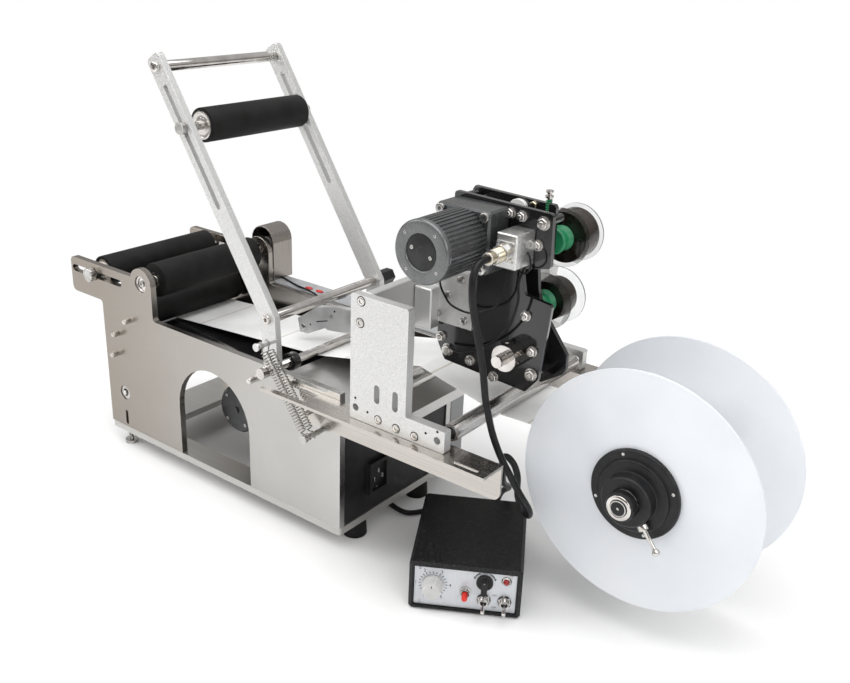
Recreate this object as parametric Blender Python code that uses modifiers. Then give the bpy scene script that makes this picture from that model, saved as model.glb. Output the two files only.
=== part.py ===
"""Semi-automatic labelling machine for round bottles.

Machine axes: X runs from the rear edge of the side plates (0) towards the label reel,
Y from the outer face of the near side plate (0) to the far side, Z up from the underside
of the base plate. Everything hangs on one empty, which puts the middle of the machine
over the world's origin and its feet on the ground.
"""
import math

import bmesh
import bpy
from mathutils import Vector

MM = 0.001

# Clearances shared by every seat, bore and cut
GAP = 0.3 * MM
OVERRUN = 1 * MM
ROUND_STEPS = 20
COARSE_STEPS = 10
SMALL_STEPS = 8
FINE_STEPS = 48

# Frame: base plate, two side plates, feet
FRAME_LONG = 400 * MM
FRAME_WIDE = 200 * MM
PLATE_THICK = 8 * MM
BASE_THICK = 8.5 * MM
BASE_RIM_LONG = 60 * MM
BASE_RIM_WIDE = 30 * MM
BASE_CORNER = 4 * MM
PLATE_TOP = 172 * MM
POST_X = 79 * MM
POST_Z = 214.5 * MM
POST_RADIUS = 19.4 * MM
POST_BORE = 10 * MM
WING_LONG = 60 * MM
WING_TOP = 220.3 * MM
WING_LOW = 174.7 * MM
WING_CORNER = 7 * MM
PLATE_FILLET = 4 * MM
WING_SLOT_REAR = -57 * MM
WING_SLOT_FRONT = 42 * MM
WING_SLOT_Z = 206 * MM
WING_SLOT_HALF = 4.3 * MM
ARCH_X = 200 * MM
ARCH_Z = 75 * MM
ARCH_RADIUS = 61 * MM
LOW_BORE_X = 31.3 * MM
LOW_BORE_Z = 56.9 * MM
LOW_BORE_RADIUS = 9 * MM
BELT_SLOT_LOW = 14.5 * MM
BELT_SLOT_HIGH = 29.5 * MM
BELT_SLOT_HALF = 2.5 * MM
STUD_RADIUS = 3.5 * MM
STUD_OUT = 9 * MM
STUD_PLACES = ((52.7 * MM, 161.5 * MM), (27.9 * MM, 138.1 * MM), (22.2 * MM, 109.2 * MM),
               (272 * MM, 150 * MM))
SCREW_FOOT_HIGH = 22 * MM
SCREW_FOOT_X = 20 * MM
SCREW_FOOT_Y = 12 * MM
SCREW_FOOT_RADIUS = 8 * MM
SCREW_FOOT_DISC = 4.5 * MM
SCREW_FOOT_STUD = 3 * MM
RUBBER_FOOT_X = FRAME_LONG - 15 * MM
RUBBER_FOOT_Y = 43 * MM
RUBBER_FOOT_RADIUS = 14 * MM
RUBBER_FOOT_TAPER = 1.5 * MM

# Sheets between the side plates
TABLE_REAR = 286 * MM
TABLE_FRONT = 455 * MM
TABLE_TOP = 150 * MM
TABLE_SHEET = 2 * MM
TABLE_LIP = 12 * MM
PEEL_REAR = 56 * MM
PEEL_FRONT = 280 * MM
PEEL_TOP = 137 * MM
PEEL_THICK = 3 * MM
PANEL_BACK = FRAME_LONG - 4 * MM
PANEL_THICK = 2 * MM
PANEL_LOW_GAP = 0.5 * MM
INLET_Y = 64 * MM
INLET_Z = 50 * MM
INLET_WIDE = 32 * MM
INLET_HIGH = 40 * MM
INLET_OUT = 5 * MM
INLET_WALL = 4 * MM
INLET_DEEP = 4 * MM

# Drive side: closed housing, round-topped cover, motor
HOUSING_REAR = 45 * MM
HOUSING_WIDE = 28.7 * MM
HOUSING_TOP = 174.7 * MM
HOUSING_EDGE = 1.5 * MM
HOUSING_AWAY = 39.5 * MM
COVER_HALF = 20.5 * MM
COVER_ROUND_Z = 226 * MM
COVER_DEEP = 34.7 * MM
COVER_WALL = 1.5 * MM
MOTOR_X = 190 * MM
MOTOR_Z = 68 * MM
MOTOR_RADIUS = 30 * MM
MOTOR_FRONT = 45 * MM
MOTOR_BACK_LONG = 26 * MM
MOTOR_NECK = 25 * MM
MOTOR_EDGE = 3 * MM
MOTOR_SCREW = 4 * MM

# Bottle rollers and pull roller
FIXED_RADIUS = 21 * MM
FIXED_NEAR = 22 * MM
FIXED_NECK = 5 * MM
FIXED_JOURNAL = 9.7 * MM
FIXED_BOSS = 4 * MM
FIXED_BOSS_DEEP = 1.5 * MM
PULLEY_RADIUS = 15.5 * MM
PULLEY_RIM = 1.5 * MM
PULLEY_WIDE = 14 * MM
PULLEY_AWAY = 8 * MM
SLIDER_X = -15 * MM
SLIDER_RADIUS = 19 * MM
SLIDER_NEAR = 16 * MM
SLIDER_RECESS = 15 * MM
SLIDER_RECESS_DEEP = 3 * MM
SLIDER_SHAFT = 4 * MM
SLIDER_SHOULDER = 6.5 * MM
SLIDER_NUT = 7 * MM
SLIDER_NUT_THICK = 8 * MM
PULL_X = 34 * MM
PULL_Z = 157 * MM
PULL_RADIUS = 17.5 * MM
PULL_NEAR = 14 * MM
PULL_PIN = 4 * MM
PULL_PIN_DEEP = 4 * MM

# Press arm
PIVOT_X = 290 * MM
PIVOT_Z = 164 * MM
PIVOT_BAR = 5 * MM
PIVOT_PIN = 4 * MM
PIVOT_NUT = 6.5 * MM
PIVOT_NUT_THICK = 7.7 * MM
COLLAR_NEAR = 36 * MM
COLLAR_WIDE = 10 * MM
COLLAR_RADIUS = 10 * MM
ARM_THICK = 8 * MM
ARM_HALF = 11 * MM
ARM_FOOT_OUT = 10.5 * MM
ARM_HEAD_OUT = 13 * MM
ARM_HEAD_CORNER = 5 * MM
ARM_KINK_BACK = 3 * MM
ARM_KINK_HIGH = 59 * MM
ARM_TIP_BACK = 165 * MM
ARM_TIP_HIGH = 307 * MM
ARM_SLOT_HALF = 3.3 * MM
ARM_SLOT_START = 24 * MM
ARM_SLOT_END = 164 * MM
CROSS_BAR = 6 * MM
CROSS_BOLT = 3 * MM
CROSS_HEAD = 5.5 * MM
CROSS_HEAD_THICK = 3.7 * MM
KNOB_RADIUS = 10 * MM
KNOB_LONG = 20 * MM
KNOB_NECK = 7 * MM
KNOB_NECK_LONG = 3 * MM
KNOB_SIDES = 6
KNOB_EDGE = 1.5 * MM
PRESS_DOWN_ARM = 71.6 * MM
PRESS_RADIUS = 19 * MM
PRESS_NEAR = 34 * MM
PRESS_SHAFT = 3 * MM
PRESS_SHOULDER = 5 * MM
PRESS_NUT = 7 * MM
PRESS_NUT_THICK = 6 * MM

# Tension springs and their posts
POST_PIN = 3 * MM
POST_HEAD = 4.5 * MM
POST_HEAD_THICK = 3 * MM
UPPER_POST_AHEAD = 7 * MM
UPPER_POST_HIGH = 37 * MM
UPPER_POST_OUT = 20 * MM
LOWER_POST_X = FRAME_LONG - 25 * MM
LOWER_POST_Z = 122.5 * MM
LOWER_POST_OUT = 30 * MM
SPRING_WIRE = 0.7 * MM
SPRING_COIL = 3.3 * MM
SPRING_TURNS = 11
SPRING_TURN_POINTS = 6
SPRING_HOOK_POINTS = 7
SPRING_HOOK_SWEEP = 1.6 * math.pi
SPRING_LANES = ((-12 * MM, -25 * MM), (-3 * MM, -15 * MM))

# Rails, brackets, cross plate, guide rollers
RAIL_THICK = 3 * MM
RAIL_TOP = 165 * MM
RAIL_REAR = 316 * MM
RAIL_FRONT = 602 * MM
RAIL_FLANGE = 33 * MM
RAIL_LEG_LOW = 127 * MM
RAIL_LEG_REAR = 345 * MM
RAIL_LEG_CORNER = 8 * MM
RAIL_NOTCH_FRONT = 375 * MM
RAIL_NOTCH_OUT = 26 * MM
RAIL_NOTCH_IN = 4 * MM
RAIL_SLOT_REAR = 566 * MM
RAIL_SLOT_FRONT = 590 * MM
RAIL_SLOT_OUT = 26 * MM
RAIL_SLOT_HALF = 1.8 * MM
RAIL_STUD_X = RAIL_REAR + 43 * MM
RAIL_STUD_Z = 139.3 * MM
RAIL_STUD_OUT = 4 * MM
RAIL_STUD_RADIUS = 3 * MM
FAR_RAIL_FRONT = 745 * MM
BRACKET_REAR = 432 * MM
BRACKET_STEP = 502 * MM
BRACKET_FRONT = 549 * MM
BRACKET_TOP = 297 * MM
BRACKET_FOOT_TOP = 188 * MM
BRACKET_THICK = 10 * MM
BRACKET_OUT = 11 * MM
BRACKET_CORNER = 2 * MM
BRACKET_SLOTS = ((466.2 * MM, 194 * MM, 207 * MM), (489 * MM, 192.5 * MM, 207.1 * MM))
BRACKET_SLOT_HALF = 3.5 * MM
CROSS_REAR = 439.5 * MM
CROSS_THICK = 10 * MM
CROSS_LOW = 247 * MM
GUIDE_REAR_X = 439.5 * MM
GUIDE_REAR_Z = 178.5 * MM
GUIDE_REAR_RADIUS = 10 * MM
GUIDE_FRONT_X = 540.5 * MM
GUIDE_FRONT_Z = 176.5 * MM
GUIDE_FRONT_RADIUS = 9 * MM
GUIDE_BEARING = 6 * MM
GUIDE_PIN = 3.5 * MM

# Label reel
REEL_X = 702 * MM
REEL_Z = 141 * MM
REEL_RADIUS = 121 * MM
REEL_DISC = 3 * MM
REEL_NEAR = 75 * MM
REEL_FAR = FRAME_WIDE - 19 * MM
REEL_ROLL = 30 * MM
REEL_ROLL_NEAR = 80 * MM
REEL_SPINDLE = 14 * MM
REEL_SPINDLE_NEAR = 50 * MM
REEL_SHAFT = 8 * MM
REEL_SHAFT_NEAR = 38 * MM
REEL_SHAFT_NUT = 12 * MM
REEL_SHAFT_NUT_THICK = 9 * MM
REEL_SHAFT_NUT_AWAY = 2 * MM
REEL_SHAFT_FOOT = 14 * MM
REEL_SHAFT_FOOT_LONG = 20 * MM
HUB_FLANGE = 45 * MM
HUB_FLANGE_THICK = 5 * MM
HUB_BOSS = 25 * MM
HUB_BOSS_LONG = 18 * MM
HUB_RING = 38 * MM
HUB_RING_HIGH = 2 * MM
CLAMP_TILT = math.radians(-53)
CLAMP_PIN = 2.5 * MM
CLAMP_SEAT = 20 * MM
CLAMP_REACH = 56 * MM
CLAMP_BALL = 4 * MM
CLAMP_COLLAR = 5.5 * MM
CLAMP_COLLAR_LONG = 6 * MM

# Label web
WEB_THICK = 0.4 * MM
WEB_NEAR = 82 * MM
WEB_WIDE = FRAME_WIDE - 106 * MM
WEB_STEP = math.radians(15)
WEB_TAIL = math.radians(100)

# Date coder: cheeks, motor, cam, stamp, ribbon spools
CHEEK_REAR = 468 * MM
CHEEK_LOW = 206 * MM
CHEEK_LONG = 129 * MM
CHEEK_HIGH = 183 * MM
CHEEK_THICK = 5 * MM
CHEEK_NEAR = 72 * MM
CHEEK_FAR = 102 * MM
CHEEK_CORNER = 3 * MM
CHEEK_SHARES = ((0, .262), (0, .137), (.078, .033), (.837, 0), (.938, .087), (1, .514),
                (.767, .535), (.729, .667), (.961, .705), (.946, .983), (.101, 1),
                (.101, .699), (.326, .678), (.326, .306))
FAR_CHEEK_SHARES = ((0, .262), (0, .137), (.078, .033), (.837, 0), (1.03, .09), (1.04, .2),
                    (1, .514), (.767, .535), (.729, .667), (.961, .705), (.946, .983),
                    (.101, 1), (.101, .699), (.326, .678), (.326, .306))
CHEEK_PILLAR = 4 * MM
CHEEK_BOLT = 5 * MM
CHEEK_BOLT_OUT = 4 * MM
PILLAR_SHARES = ((.11, .1), (.88, .11), (.88, .93), (.155, .965))
BOLTED_PILLARS = 3
CAM_X = 514.8 * MM
CAM_Z = 355.1 * MM
CODER_MOTOR_RADIUS = 30 * MM
CODER_MOTOR_LONG = 61.7 * MM
CODER_MOTOR_CAP = 6 * MM
CODER_MOTOR_EDGE = 2 * MM
CODER_MOTOR_FACE = 17 * MM
CODER_MOTOR_FACE_DEEP = 0.6 * MM
CODER_FINS = 22
CODER_FIN_DEEP = 1.8 * MM
GEARBOX_HALF = 30 * MM
GEARBOX_DEEP = 33.4 * MM
GEARBOX_EDGE = 2 * MM
GEARBOX_SCREW = 4.5 * MM
GEARBOX_SCREW_OUT = 3 * MM
GEARBOX_SCREW_SPAN = 24.7 * MM
CAM_SHAFT = 5 * MM
CAM_NEAR = 112 * MM
CAM_THICK = 10 * MM
CAM_LOW_REACH = 20 * MM
CAM_LIFT = 12 * MM
CAM_POINTS = 40
FOLLOWER = 4 * MM
STAMP_HALF = 10 * MM
STAMP_LOW = 236 * MM
STAMP_TOP = 296 * MM
STAMP_THICK = 18.7 * MM
STAMP_STEM = 3.5 * MM
STAMP_HOLDER_LONG = 30 * MM
STAMP_HOLDER_WIDE = 44 * MM
STAMP_HOLDER_LOW = 200 * MM
STAMP_TYPE_LONG = 20 * MM
STAMP_TYPE_WIDE = 32 * MM
STAMP_TYPE_LOW = 190 * MM
STAMP_EDGE = 0.8 * MM
GUIDE_BAR_WIDE = 5.5 * MM
GUIDE_BAR_DEEP = 16 * MM
GUIDE_BAR_LOW = 240 * MM
GUIDE_BAR_HIGH = 262 * MM
COLUMN_LONG = 21.5 * MM
COLUMN_NEAR = 54 * MM
COLUMN_LOW = 247 * MM
COLUMN_HIGH = 290 * MM
COLUMN_EDGE = 1 * MM
MOUNT_PLATE_REAR = 459 * MM
MOUNT_PLATE_FRONT = 511 * MM
MOUNT_PLATE_LOW = 253 * MM
MOUNT_PLATE_HIGH = 311 * MM
MOUNT_PLATE_THICK = 3.2 * MM
BLOCK_REAR = 552 * MM
BLOCK_LONG = 22 * MM
BLOCK_LOW = 336 * MM
BLOCK_HIGH = 33 * MM
BLOCK_NEAR = 40 * MM
BLOCK_EDGE = 1 * MM
GLAND_Z = 352 * MM
GLAND_NUT = 9 * MM
GLAND_NUT_LONG = 10 * MM
GLAND_RING = 7 * MM
GLAND_RING_LONG = 12 * MM
GLAND_TIP = 6 * MM
GLAND_TIP_LONG = 8 * MM
FEED_X = 561 * MM
FEED_Z = 243 * MM
FEED_SHAFT = 6 * MM
FEED_SHAFT_NEAR = 40 * MM
FEED_COLLAR = 13.5 * MM
FEED_COLLAR_NEAR = 52 * MM
FEED_TYRE = 14 * MM
FEED_TYRE_AWAY = 3 * MM
SPOOL_PLACES = ((569.5 * MM, 348 * MM, 25 * MM), (557 * MM, 279.5 * MM, 20 * MM))
SPOOL_PIN = 3 * MM
SPOOL_HUB = 8 * MM
SPOOL_FLANGE = 29 * MM
SPOOL_FLANGE_THICK = 1.6 * MM
SPOOL_NEAR = 130 * MM
SPOOL_WIDE = 30 * MM
SPOOL_NUT = 6 * MM
SPOOL_NUT_LONG = 6 * MM

# Label sensor on its bracket
SENSOR_NEAR = 111 * MM
SENSOR_THICK = 8 * MM
SENSOR_REAR = 231 * MM
SENSOR_LOW = 164 * MM
SENSOR_LONG = CROSS_REAR - GAP - SENSOR_REAR
SENSOR_HIGH = 98 * MM
SENSOR_SHARES = ((0, .173), (.019, 0), (.082, .01), (.215, .16), (.235, .145), (.394, .19),
                 (.47, .3), (1, .87), (1, 1), (.394, .49), (.298, .475), (.154, .398))
SENSOR_HOLE = 3.2 * MM
SENSOR_HOLE_SHARES = (.262, .327)
SENSOR_CORNER = 2 * MM

# Control box, which stands by itself, turned about the upright
BOX_X = 531.6 * MM
BOX_Y = 62 * MM
BOX_TURN = math.radians(30.5)
BOX_WIDE = 114 * MM
BOX_DEEP = 137 * MM
BOX_HIGH = 56 * MM
BOX_EDGE = 3 * MM
BOX_RIM_SIDE = 5 * MM
BOX_RIM_TOP = 4 * MM
BOX_RIM_LOW = 5 * MM
BOX_RECESS = 3 * MM
BOX_BOSS = 6 * MM
BOX_BOSS_LONG = 10 * MM
BOX_GLAND_PLACES = ((-22 * MM, -14 * MM), (22 * MM, -14 * MM))
SPEED_X = -32.5 * MM
SPEED_Z = 3 * MM
SPEED_RADIUS = 11 * MM
SPEED_TIP = 9 * MM
SPEED_LONG = 16 * MM
SELECTOR_X = 19.5 * MM
SELECTOR_Z = 11.5 * MM
SELECTOR_RADIUS = 8.5 * MM
SELECTOR_SKIRT = 4 * MM
SELECTOR_LONG = 14 * MM
SELECTOR_HALF = 3 * MM
KNOB_STEM = 3 * MM
STEM_SEAT = 4 * MM
TOGGLE_PLACES = ((19.5 * MM, -9.5 * MM), (40.5 * MM, -9.5 * MM))
TOGGLE_BUSH = 4.5 * MM
TOGGLE_BUSH_LONG = 7 * MM
TOGGLE_NUT = 7 * MM
TOGGLE_NUT_LONG = 2.2 * MM
TOGGLE_BORE = 3.2 * MM
TOGGLE_BORE_DEEP = 4 * MM
TOGGLE_LEVER = 1.3 * MM
TOGGLE_BALL = 2.6 * MM
TOGGLE_TIP = 2 * MM
TOGGLE_LONG = 15 * MM
TOGGLE_DROP = math.radians(12)
BUTTON_X = 0.5 * MM
BUTTON_Z = -2.5 * MM
BUTTON_BUSH = 4.5 * MM
BUTTON_BUSH_LONG = 5 * MM
BUTTON_CAP = 3 * MM
BUTTON_LONG = 14 * MM
BUTTON_SEAT = 3.3 * MM

# Cords: radii, and routes chosen by hand in machine millimetres
CODER_CORD = 4 * MM
POWER_CORD = 3 * MM
CORD_STEP = 15 * MM
POWER_GLAND_X = FRAME_LONG - 28 * MM
POWER_GLAND_Y = 106 * MM
POWER_GLAND_LONG = 18 * MM
POWER_GLAND_WIDE = 14 * MM
POWER_GLAND_HIGH = 19 * MM
POWER_GLAND_MOUTH = 13 * MM
CODER_ROUTE = ((563, -5, 348), (564, -7, 325), (565, -2, 300), (567, 0, 275),
               (571, 4, 245), (572, 8, 222), (574, 12, 203), (577, 18, 180), (584, 23, 158),
               (593, 27, 140), (603, 32, 121), (609, 41, 101), (606, 53, 84), (596, 61, 82),
               (589, 63, 96), (589, 63, 114), (581, 63, 128), (567, 66, 131), (553, 77, 120),
               (542, 96, 98), (533, 122, 70), (522, 148, 42), (510, 162, 18), (500, 163, -3))
POWER_ROUTE = ((386, 106, -13.6), (408, 104.5, -18.2), (430, 110, -18.7), (447, 128, -18.7),
               (455, 142, -15))

# Places that follow from the sizes above
MID_X = (REEL_X + REEL_RADIUS - WING_LONG) / 2
PLATE_FOOT = BASE_THICK + GAP
INNER_NEAR = PLATE_THICK + GAP
INNER_FAR = FRAME_WIDE - PLATE_THICK - GAP
OUTER_FAR = FRAME_WIDE + GAP
HOUSING_FAR = OUTER_FAR + HOUSING_WIDE
FAR_RAIL_NEAR = HOUSING_FAR + GAP
MID_Y = FAR_RAIL_NEAR / 2
NEAR_BRACKET = -BRACKET_OUT - BRACKET_THICK
FAR_BRACKET = FAR_RAIL_NEAR + BRACKET_OUT
ARM_NEAR = INNER_NEAR
ARM_FAR = INNER_FAR - ARM_THICK
BAR_NEAR = ARM_NEAR + ARM_THICK + GAP
BAR_FAR = ARM_FAR - GAP
KINK_X = PIVOT_X - ARM_KINK_BACK
KINK_Z = PIVOT_Z + ARM_KINK_HIGH
TIP_X = PIVOT_X - ARM_TIP_BACK
TIP_Z = PIVOT_Z + ARM_TIP_HIGH
ARM_RUN = math.hypot(TIP_X - KINK_X, TIP_Z - KINK_Z)
ARM_ALONG = ((KINK_X - TIP_X) / ARM_RUN, (KINK_Z - TIP_Z) / ARM_RUN)
PRESS_X = TIP_X + ARM_ALONG[0] * PRESS_DOWN_ARM
PRESS_Z = TIP_Z + ARM_ALONG[1] * PRESS_DOWN_ARM
GEARBOX_NEAR = CHEEK_NEAR - GAP - GEARBOX_DEEP
BOX_Z = BOX_HIGH / 2 - SCREW_FOOT_HIGH
BOX_FRONT = -BOX_DEEP / 2
BOX_PANEL = BOX_FRONT + BOX_RECESS


def start():
    """An empty scene, the two collections and the empty that carries the machine."""
    for obj in list(bpy.data.objects):
        bpy.data.objects.remove(obj)
    for label in ("labelling_machine", "cutters"):
        bpy.context.scene.collection.children.link(bpy.data.collections.new(label))
    machine = bpy.data.objects.new("machine_axes", None)
    machine.location = (-MID_X, -MID_Y, SCREW_FOOT_HIGH)
    bpy.data.collections["labelling_machine"].objects.link(machine)
    return machine


def paint(name, colour, roughness, metallic):
    """A Principled material in the colour read from the photograph."""
    material = bpy.data.materials.new(name)
    material.use_nodes = True
    shader = material.node_tree.nodes["Principled BSDF"]
    shader.inputs["Base Color"].default_value = (*colour, 1)
    shader.inputs["Roughness"].default_value = roughness
    shader.inputs["Metallic"].default_value = metallic
    return material


MACHINE = start()
ALUMINIUM = paint("brushed_aluminium", (.62, .61, .59), .38, 1)
STEEL = paint("stainless_steel", (.56, .54, .51), .3, 1)
CHROME = paint("chrome", (.8, .79, .77), .08, 1)
BLACK_RUBBER = paint("black_rubber", (.02, .02, .021), .62, 0)
BLACK_PAINT = paint("black_anodised", (.018, .018, .02), .4, 0)
GREY_PAINT = paint("grey_paint", (.42, .43, .45), .45, 0)
MOTOR_GREY = paint("motor_grey", (.2, .21, .2), .42, .4)
FROSTED = paint("frosted_plastic", (.9, .93, .95), .35, 0)
CLEAR = paint("clear_plastic", (.85, .87, .86), .12, 0)
PAPER = paint("label_paper", (.93, .93, .93), .6, 0)
RED = paint("red_plastic", (.75, .05, .03), .35, 0)
LIGHT_PLASTIC = paint("light_plastic", (.72, .72, .7), .4, 0)


def enlist(obj, material, parent=MACHINE):
    """Puts an object into the machine's collection, under its parent, in its material."""
    bpy.data.collections["labelling_machine"].objects.link(obj)
    obj.parent = parent
    obj.data.materials.clear()
    obj.data.materials.append(material)
    return obj


def as_mesh(obj, material, parent=MACHINE):
    """Turns a curve or a profile with modifiers into a welded mesh object."""
    bpy.context.scene.collection.objects.link(obj)
    bpy.context.view_layer.update()
    graph = bpy.context.evaluated_depsgraph_get()
    mesh = bpy.data.meshes.new_from_object(obj.evaluated_get(graph))
    work = bmesh.new()
    work.from_mesh(mesh)
    bmesh.ops.remove_doubles(work, verts=work.verts, dist=GAP / 100)
    bmesh.ops.recalc_face_normals(work, faces=work.faces)
    work.to_mesh(mesh)
    work.free()
    mesh.shade_smooth()
    mesh.set_sharp_from_angle(angle=math.radians(35))
    name, place = obj.name, obj.matrix_world.copy()
    bpy.data.objects.remove(obj)
    solid = bpy.data.objects.new(name, mesh)
    solid.name = name
    solid.matrix_world = place
    return enlist(solid, material, parent)


def block(name, low, high, material, edge=0, parent=MACHINE):
    """A box between two corners, its edges rounded by a Bevel."""
    low, high = Vector(low), Vector(high)
    mesh = bpy.data.meshes.new(name)
    work = bmesh.new()
    bmesh.ops.create_cube(work, size=1)
    bmesh.ops.scale(work, vec=high - low, verts=work.verts)
    work.to_mesh(mesh)
    work.free()
    obj = bpy.data.objects.new(name, mesh)
    obj.location = (low + high) / 2
    if edge:
        bevel = obj.modifiers.new("rounded edges", "BEVEL")
        bevel.width = edge
        bevel.segments = 1
    return enlist(obj, material, parent)


TURNED_ROTATION = {"X": (0, math.pi / 2, 0), "Y": (-math.pi / 2, 0, 0), "Z": (0, 0, 0)}


def turned(name, axis, at, profile, material, bore=0, steps=ROUND_STEPS, parent=MACHINE):
    """A turned solid on one axis: profile rows are (radius, place along the axis)."""
    outer = [(radius, along) for radius, along in profile]
    inner = [(bore, outer[0][1]), (bore, outer[-1][1])]
    loop = [inner[0]] + outer + [inner[1]]
    loop.reverse()
    edges = [(i, i + 1) for i in range(len(loop) - 1)]
    if bore:
        edges.append((len(loop) - 1, 0))
    mesh = bpy.data.meshes.new(name)
    mesh.from_pydata([(radius, 0, along) for radius, along in loop], edges, [])
    obj = bpy.data.objects.new(name, mesh)
    obj.location = at
    obj.rotation_euler = TURNED_ROTATION[axis]
    screw = obj.modifiers.new("turned", "SCREW")
    screw.steps = screw.render_steps = steps
    screw.use_merge_vertices = True
    screw.merge_threshold = GAP / 10
    return as_mesh(obj, material, parent)


def arc(centre, radius, start, end, steps):
    """Points along an arc, both ends included; angles in radians."""
    turn = (end - start) / steps
    return [(centre[0] + radius * math.cos(start + turn * i),
             centre[1] + radius * math.sin(start + turn * i)) for i in range(steps + 1)]


def hole(centre, radius, steps=COARSE_STEPS):
    """A round hole in an outline, its flats on the radius so that a shaft clears them."""
    return arc(centre, radius / math.cos(math.pi / steps), 0, 2 * math.pi, steps)[:-1]


def long_hole(start, end, half):
    """A slot with round ends between two centres."""
    lean = math.atan2(end[1] - start[1], end[0] - start[0])
    side = math.pi / 2
    return (arc(start, half, lean + side, lean + 3 * side, ROUND_STEPS // 4)
            + arc(end, half, lean - side, lean + side, ROUND_STEPS // 4))


def rounded(corners, radius, steps=4):
    """An outline with every corner rounded; a corner may carry a radius of its own."""
    points = []
    for i, corner in enumerate(corners):
        here = Vector(corner[:2])
        fillet = corner[2] if len(corner) > 2 else radius
        if not fillet:
            points.append(tuple(here))
            continue
        before = (Vector(corners[i - 1][:2]) - here).normalized()
        after = (Vector(corners[(i + 1) % len(corners)][:2]) - here).normalized()
        half = before.angle(after) / 2
        centre = here + (before + after).normalized() * (fillet / math.sin(half))
        first = here + before * (fillet / math.tan(half)) - centre
        last = here + after * (fillet / math.tan(half)) - centre
        start = math.atan2(first.y, first.x)
        sweep = first.angle_signed(last)
        points += arc(tuple(centre), fillet, start, start - sweep, steps)
    return points


SHEET_ROTATION = {"XY": (0, 0, 0), "XZ": (math.pi / 2, 0, 0), "YZ": (math.pi / 2, 0, math.pi / 2)}


def sheet(name, plane, outline, low, high, material, holes=(), parent=MACHINE):
    """A flat outline with holes, filled and extruded between two faces."""
    curve = bpy.data.curves.new(name, "CURVE")
    curve.dimensions = "2D"
    curve.fill_mode = "BOTH"
    curve.extrude = (high - low) / 2
    for ring in (outline, *holes):
        spline = curve.splines.new("POLY")
        spline.points.add(len(ring) - 1)
        spline.use_cyclic_u = True
        for point, (across, up) in zip(spline.points, ring):
            point.co = (across, up, 0, 1)
    obj = bpy.data.objects.new(name, curve)
    middle = (low + high) / 2
    obj.location = {"XY": (0, 0, middle), "XZ": (0, middle, 0), "YZ": (middle, 0, 0)}[plane]
    obj.rotation_euler = SHEET_ROTATION[plane]
    return as_mesh(obj, material, parent)


def tube(name, points, radius, material, resolution=2, parent=MACHINE):
    """A round wire or cord through the given points."""
    curve = bpy.data.curves.new(name, "CURVE")
    curve.dimensions = "3D"
    curve.bevel_depth = radius
    curve.bevel_resolution = resolution
    curve.use_fill_caps = True
    spline = curve.splines.new("POLY")
    spline.points.add(len(points) - 1)
    for point, place in zip(spline.points, points):
        point.co = (*place, 1)
    return as_mesh(bpy.data.objects.new(name, curve), material, parent)


def combine(obj, other, operation):
    """A live Boolean with a second solid, which moves to the cutters."""
    bpy.data.collections["labelling_machine"].objects.unlink(other)
    bpy.data.collections["cutters"].objects.link(other)
    other.hide_render = True
    other.display_type = "WIRE"
    boolean = obj.modifiers.new(other.name, "BOOLEAN")
    boolean.operation = operation
    boolean.solver = "EXACT"
    boolean.object = other


def join(obj, *others):
    for other in others:
        combine(obj, other, "UNION")
    return obj


def cut(obj, *others):
    for other in others:
        combine(obj, other, "DIFFERENCE")
    return obj


def pivot(obj, place):
    """Moves an object's origin to a point on its joint's axis."""
    bpy.context.view_layer.update()
    shift = obj.matrix_basis.inverted() @ Vector(place)
    for vertex in obj.data.vertices:
        vertex.co -= shift
    obj.location = Vector(place)
    return obj


def pin(name, axis, at, radius, low, high, material, steps=COARSE_STEPS, parent=MACHINE):
    """A plain round bar between two places along an axis."""
    return turned(name, axis, at, ((radius, low), (radius, high)), material, 0, steps, parent)


def box_outline(left, low, right, high):
    return [(left, low), (right, low), (right, high), (left, high)]


def make_base():
    """Base plate with its large opening, four feet and the cord gland underneath."""
    outline = rounded(box_outline(0, 0, FRAME_LONG, FRAME_WIDE), BASE_CORNER)
    window = rounded(box_outline(BASE_RIM_LONG, BASE_RIM_WIDE, FRAME_LONG - BASE_RIM_LONG,
                                 FRAME_WIDE - BASE_RIM_WIDE), BASE_CORNER)
    base = sheet("base_plate", "XY", outline, 0, BASE_THICK, ALUMINIUM, [window])
    gland = block("base_gland", (POWER_GLAND_X - POWER_GLAND_LONG,
                                 POWER_GLAND_Y - POWER_GLAND_WIDE / 2, -POWER_GLAND_HIGH),
                  (POWER_GLAND_X, POWER_GLAND_Y + POWER_GLAND_WIDE / 2, OVERRUN), ALUMINIUM,
                  OVERRUN)
    join(base, gland)
    for side, mirror in (("near", False), ("far", True)):
        y = FRAME_WIDE - SCREW_FOOT_Y if mirror else SCREW_FOOT_Y
        disc_top = SCREW_FOOT_DISC - SCREW_FOOT_HIGH
        turned("levelling_foot_" + side, "Z", (SCREW_FOOT_X, y, 0),
               ((SCREW_FOOT_RADIUS, -SCREW_FOOT_HIGH), (SCREW_FOOT_RADIUS, disc_top),
                (SCREW_FOOT_STUD, disc_top), (SCREW_FOOT_STUD, -GAP)), STEEL, 0, COARSE_STEPS)
        y = FRAME_WIDE - RUBBER_FOOT_Y if mirror else RUBBER_FOOT_Y
        turned("rubber_foot_" + side, "Z", (RUBBER_FOOT_X, y, 0),
               ((RUBBER_FOOT_RADIUS, -SCREW_FOOT_HIGH),
                (RUBBER_FOOT_RADIUS - RUBBER_FOOT_TAPER, -GAP)), BLACK_RUBBER)


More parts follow.
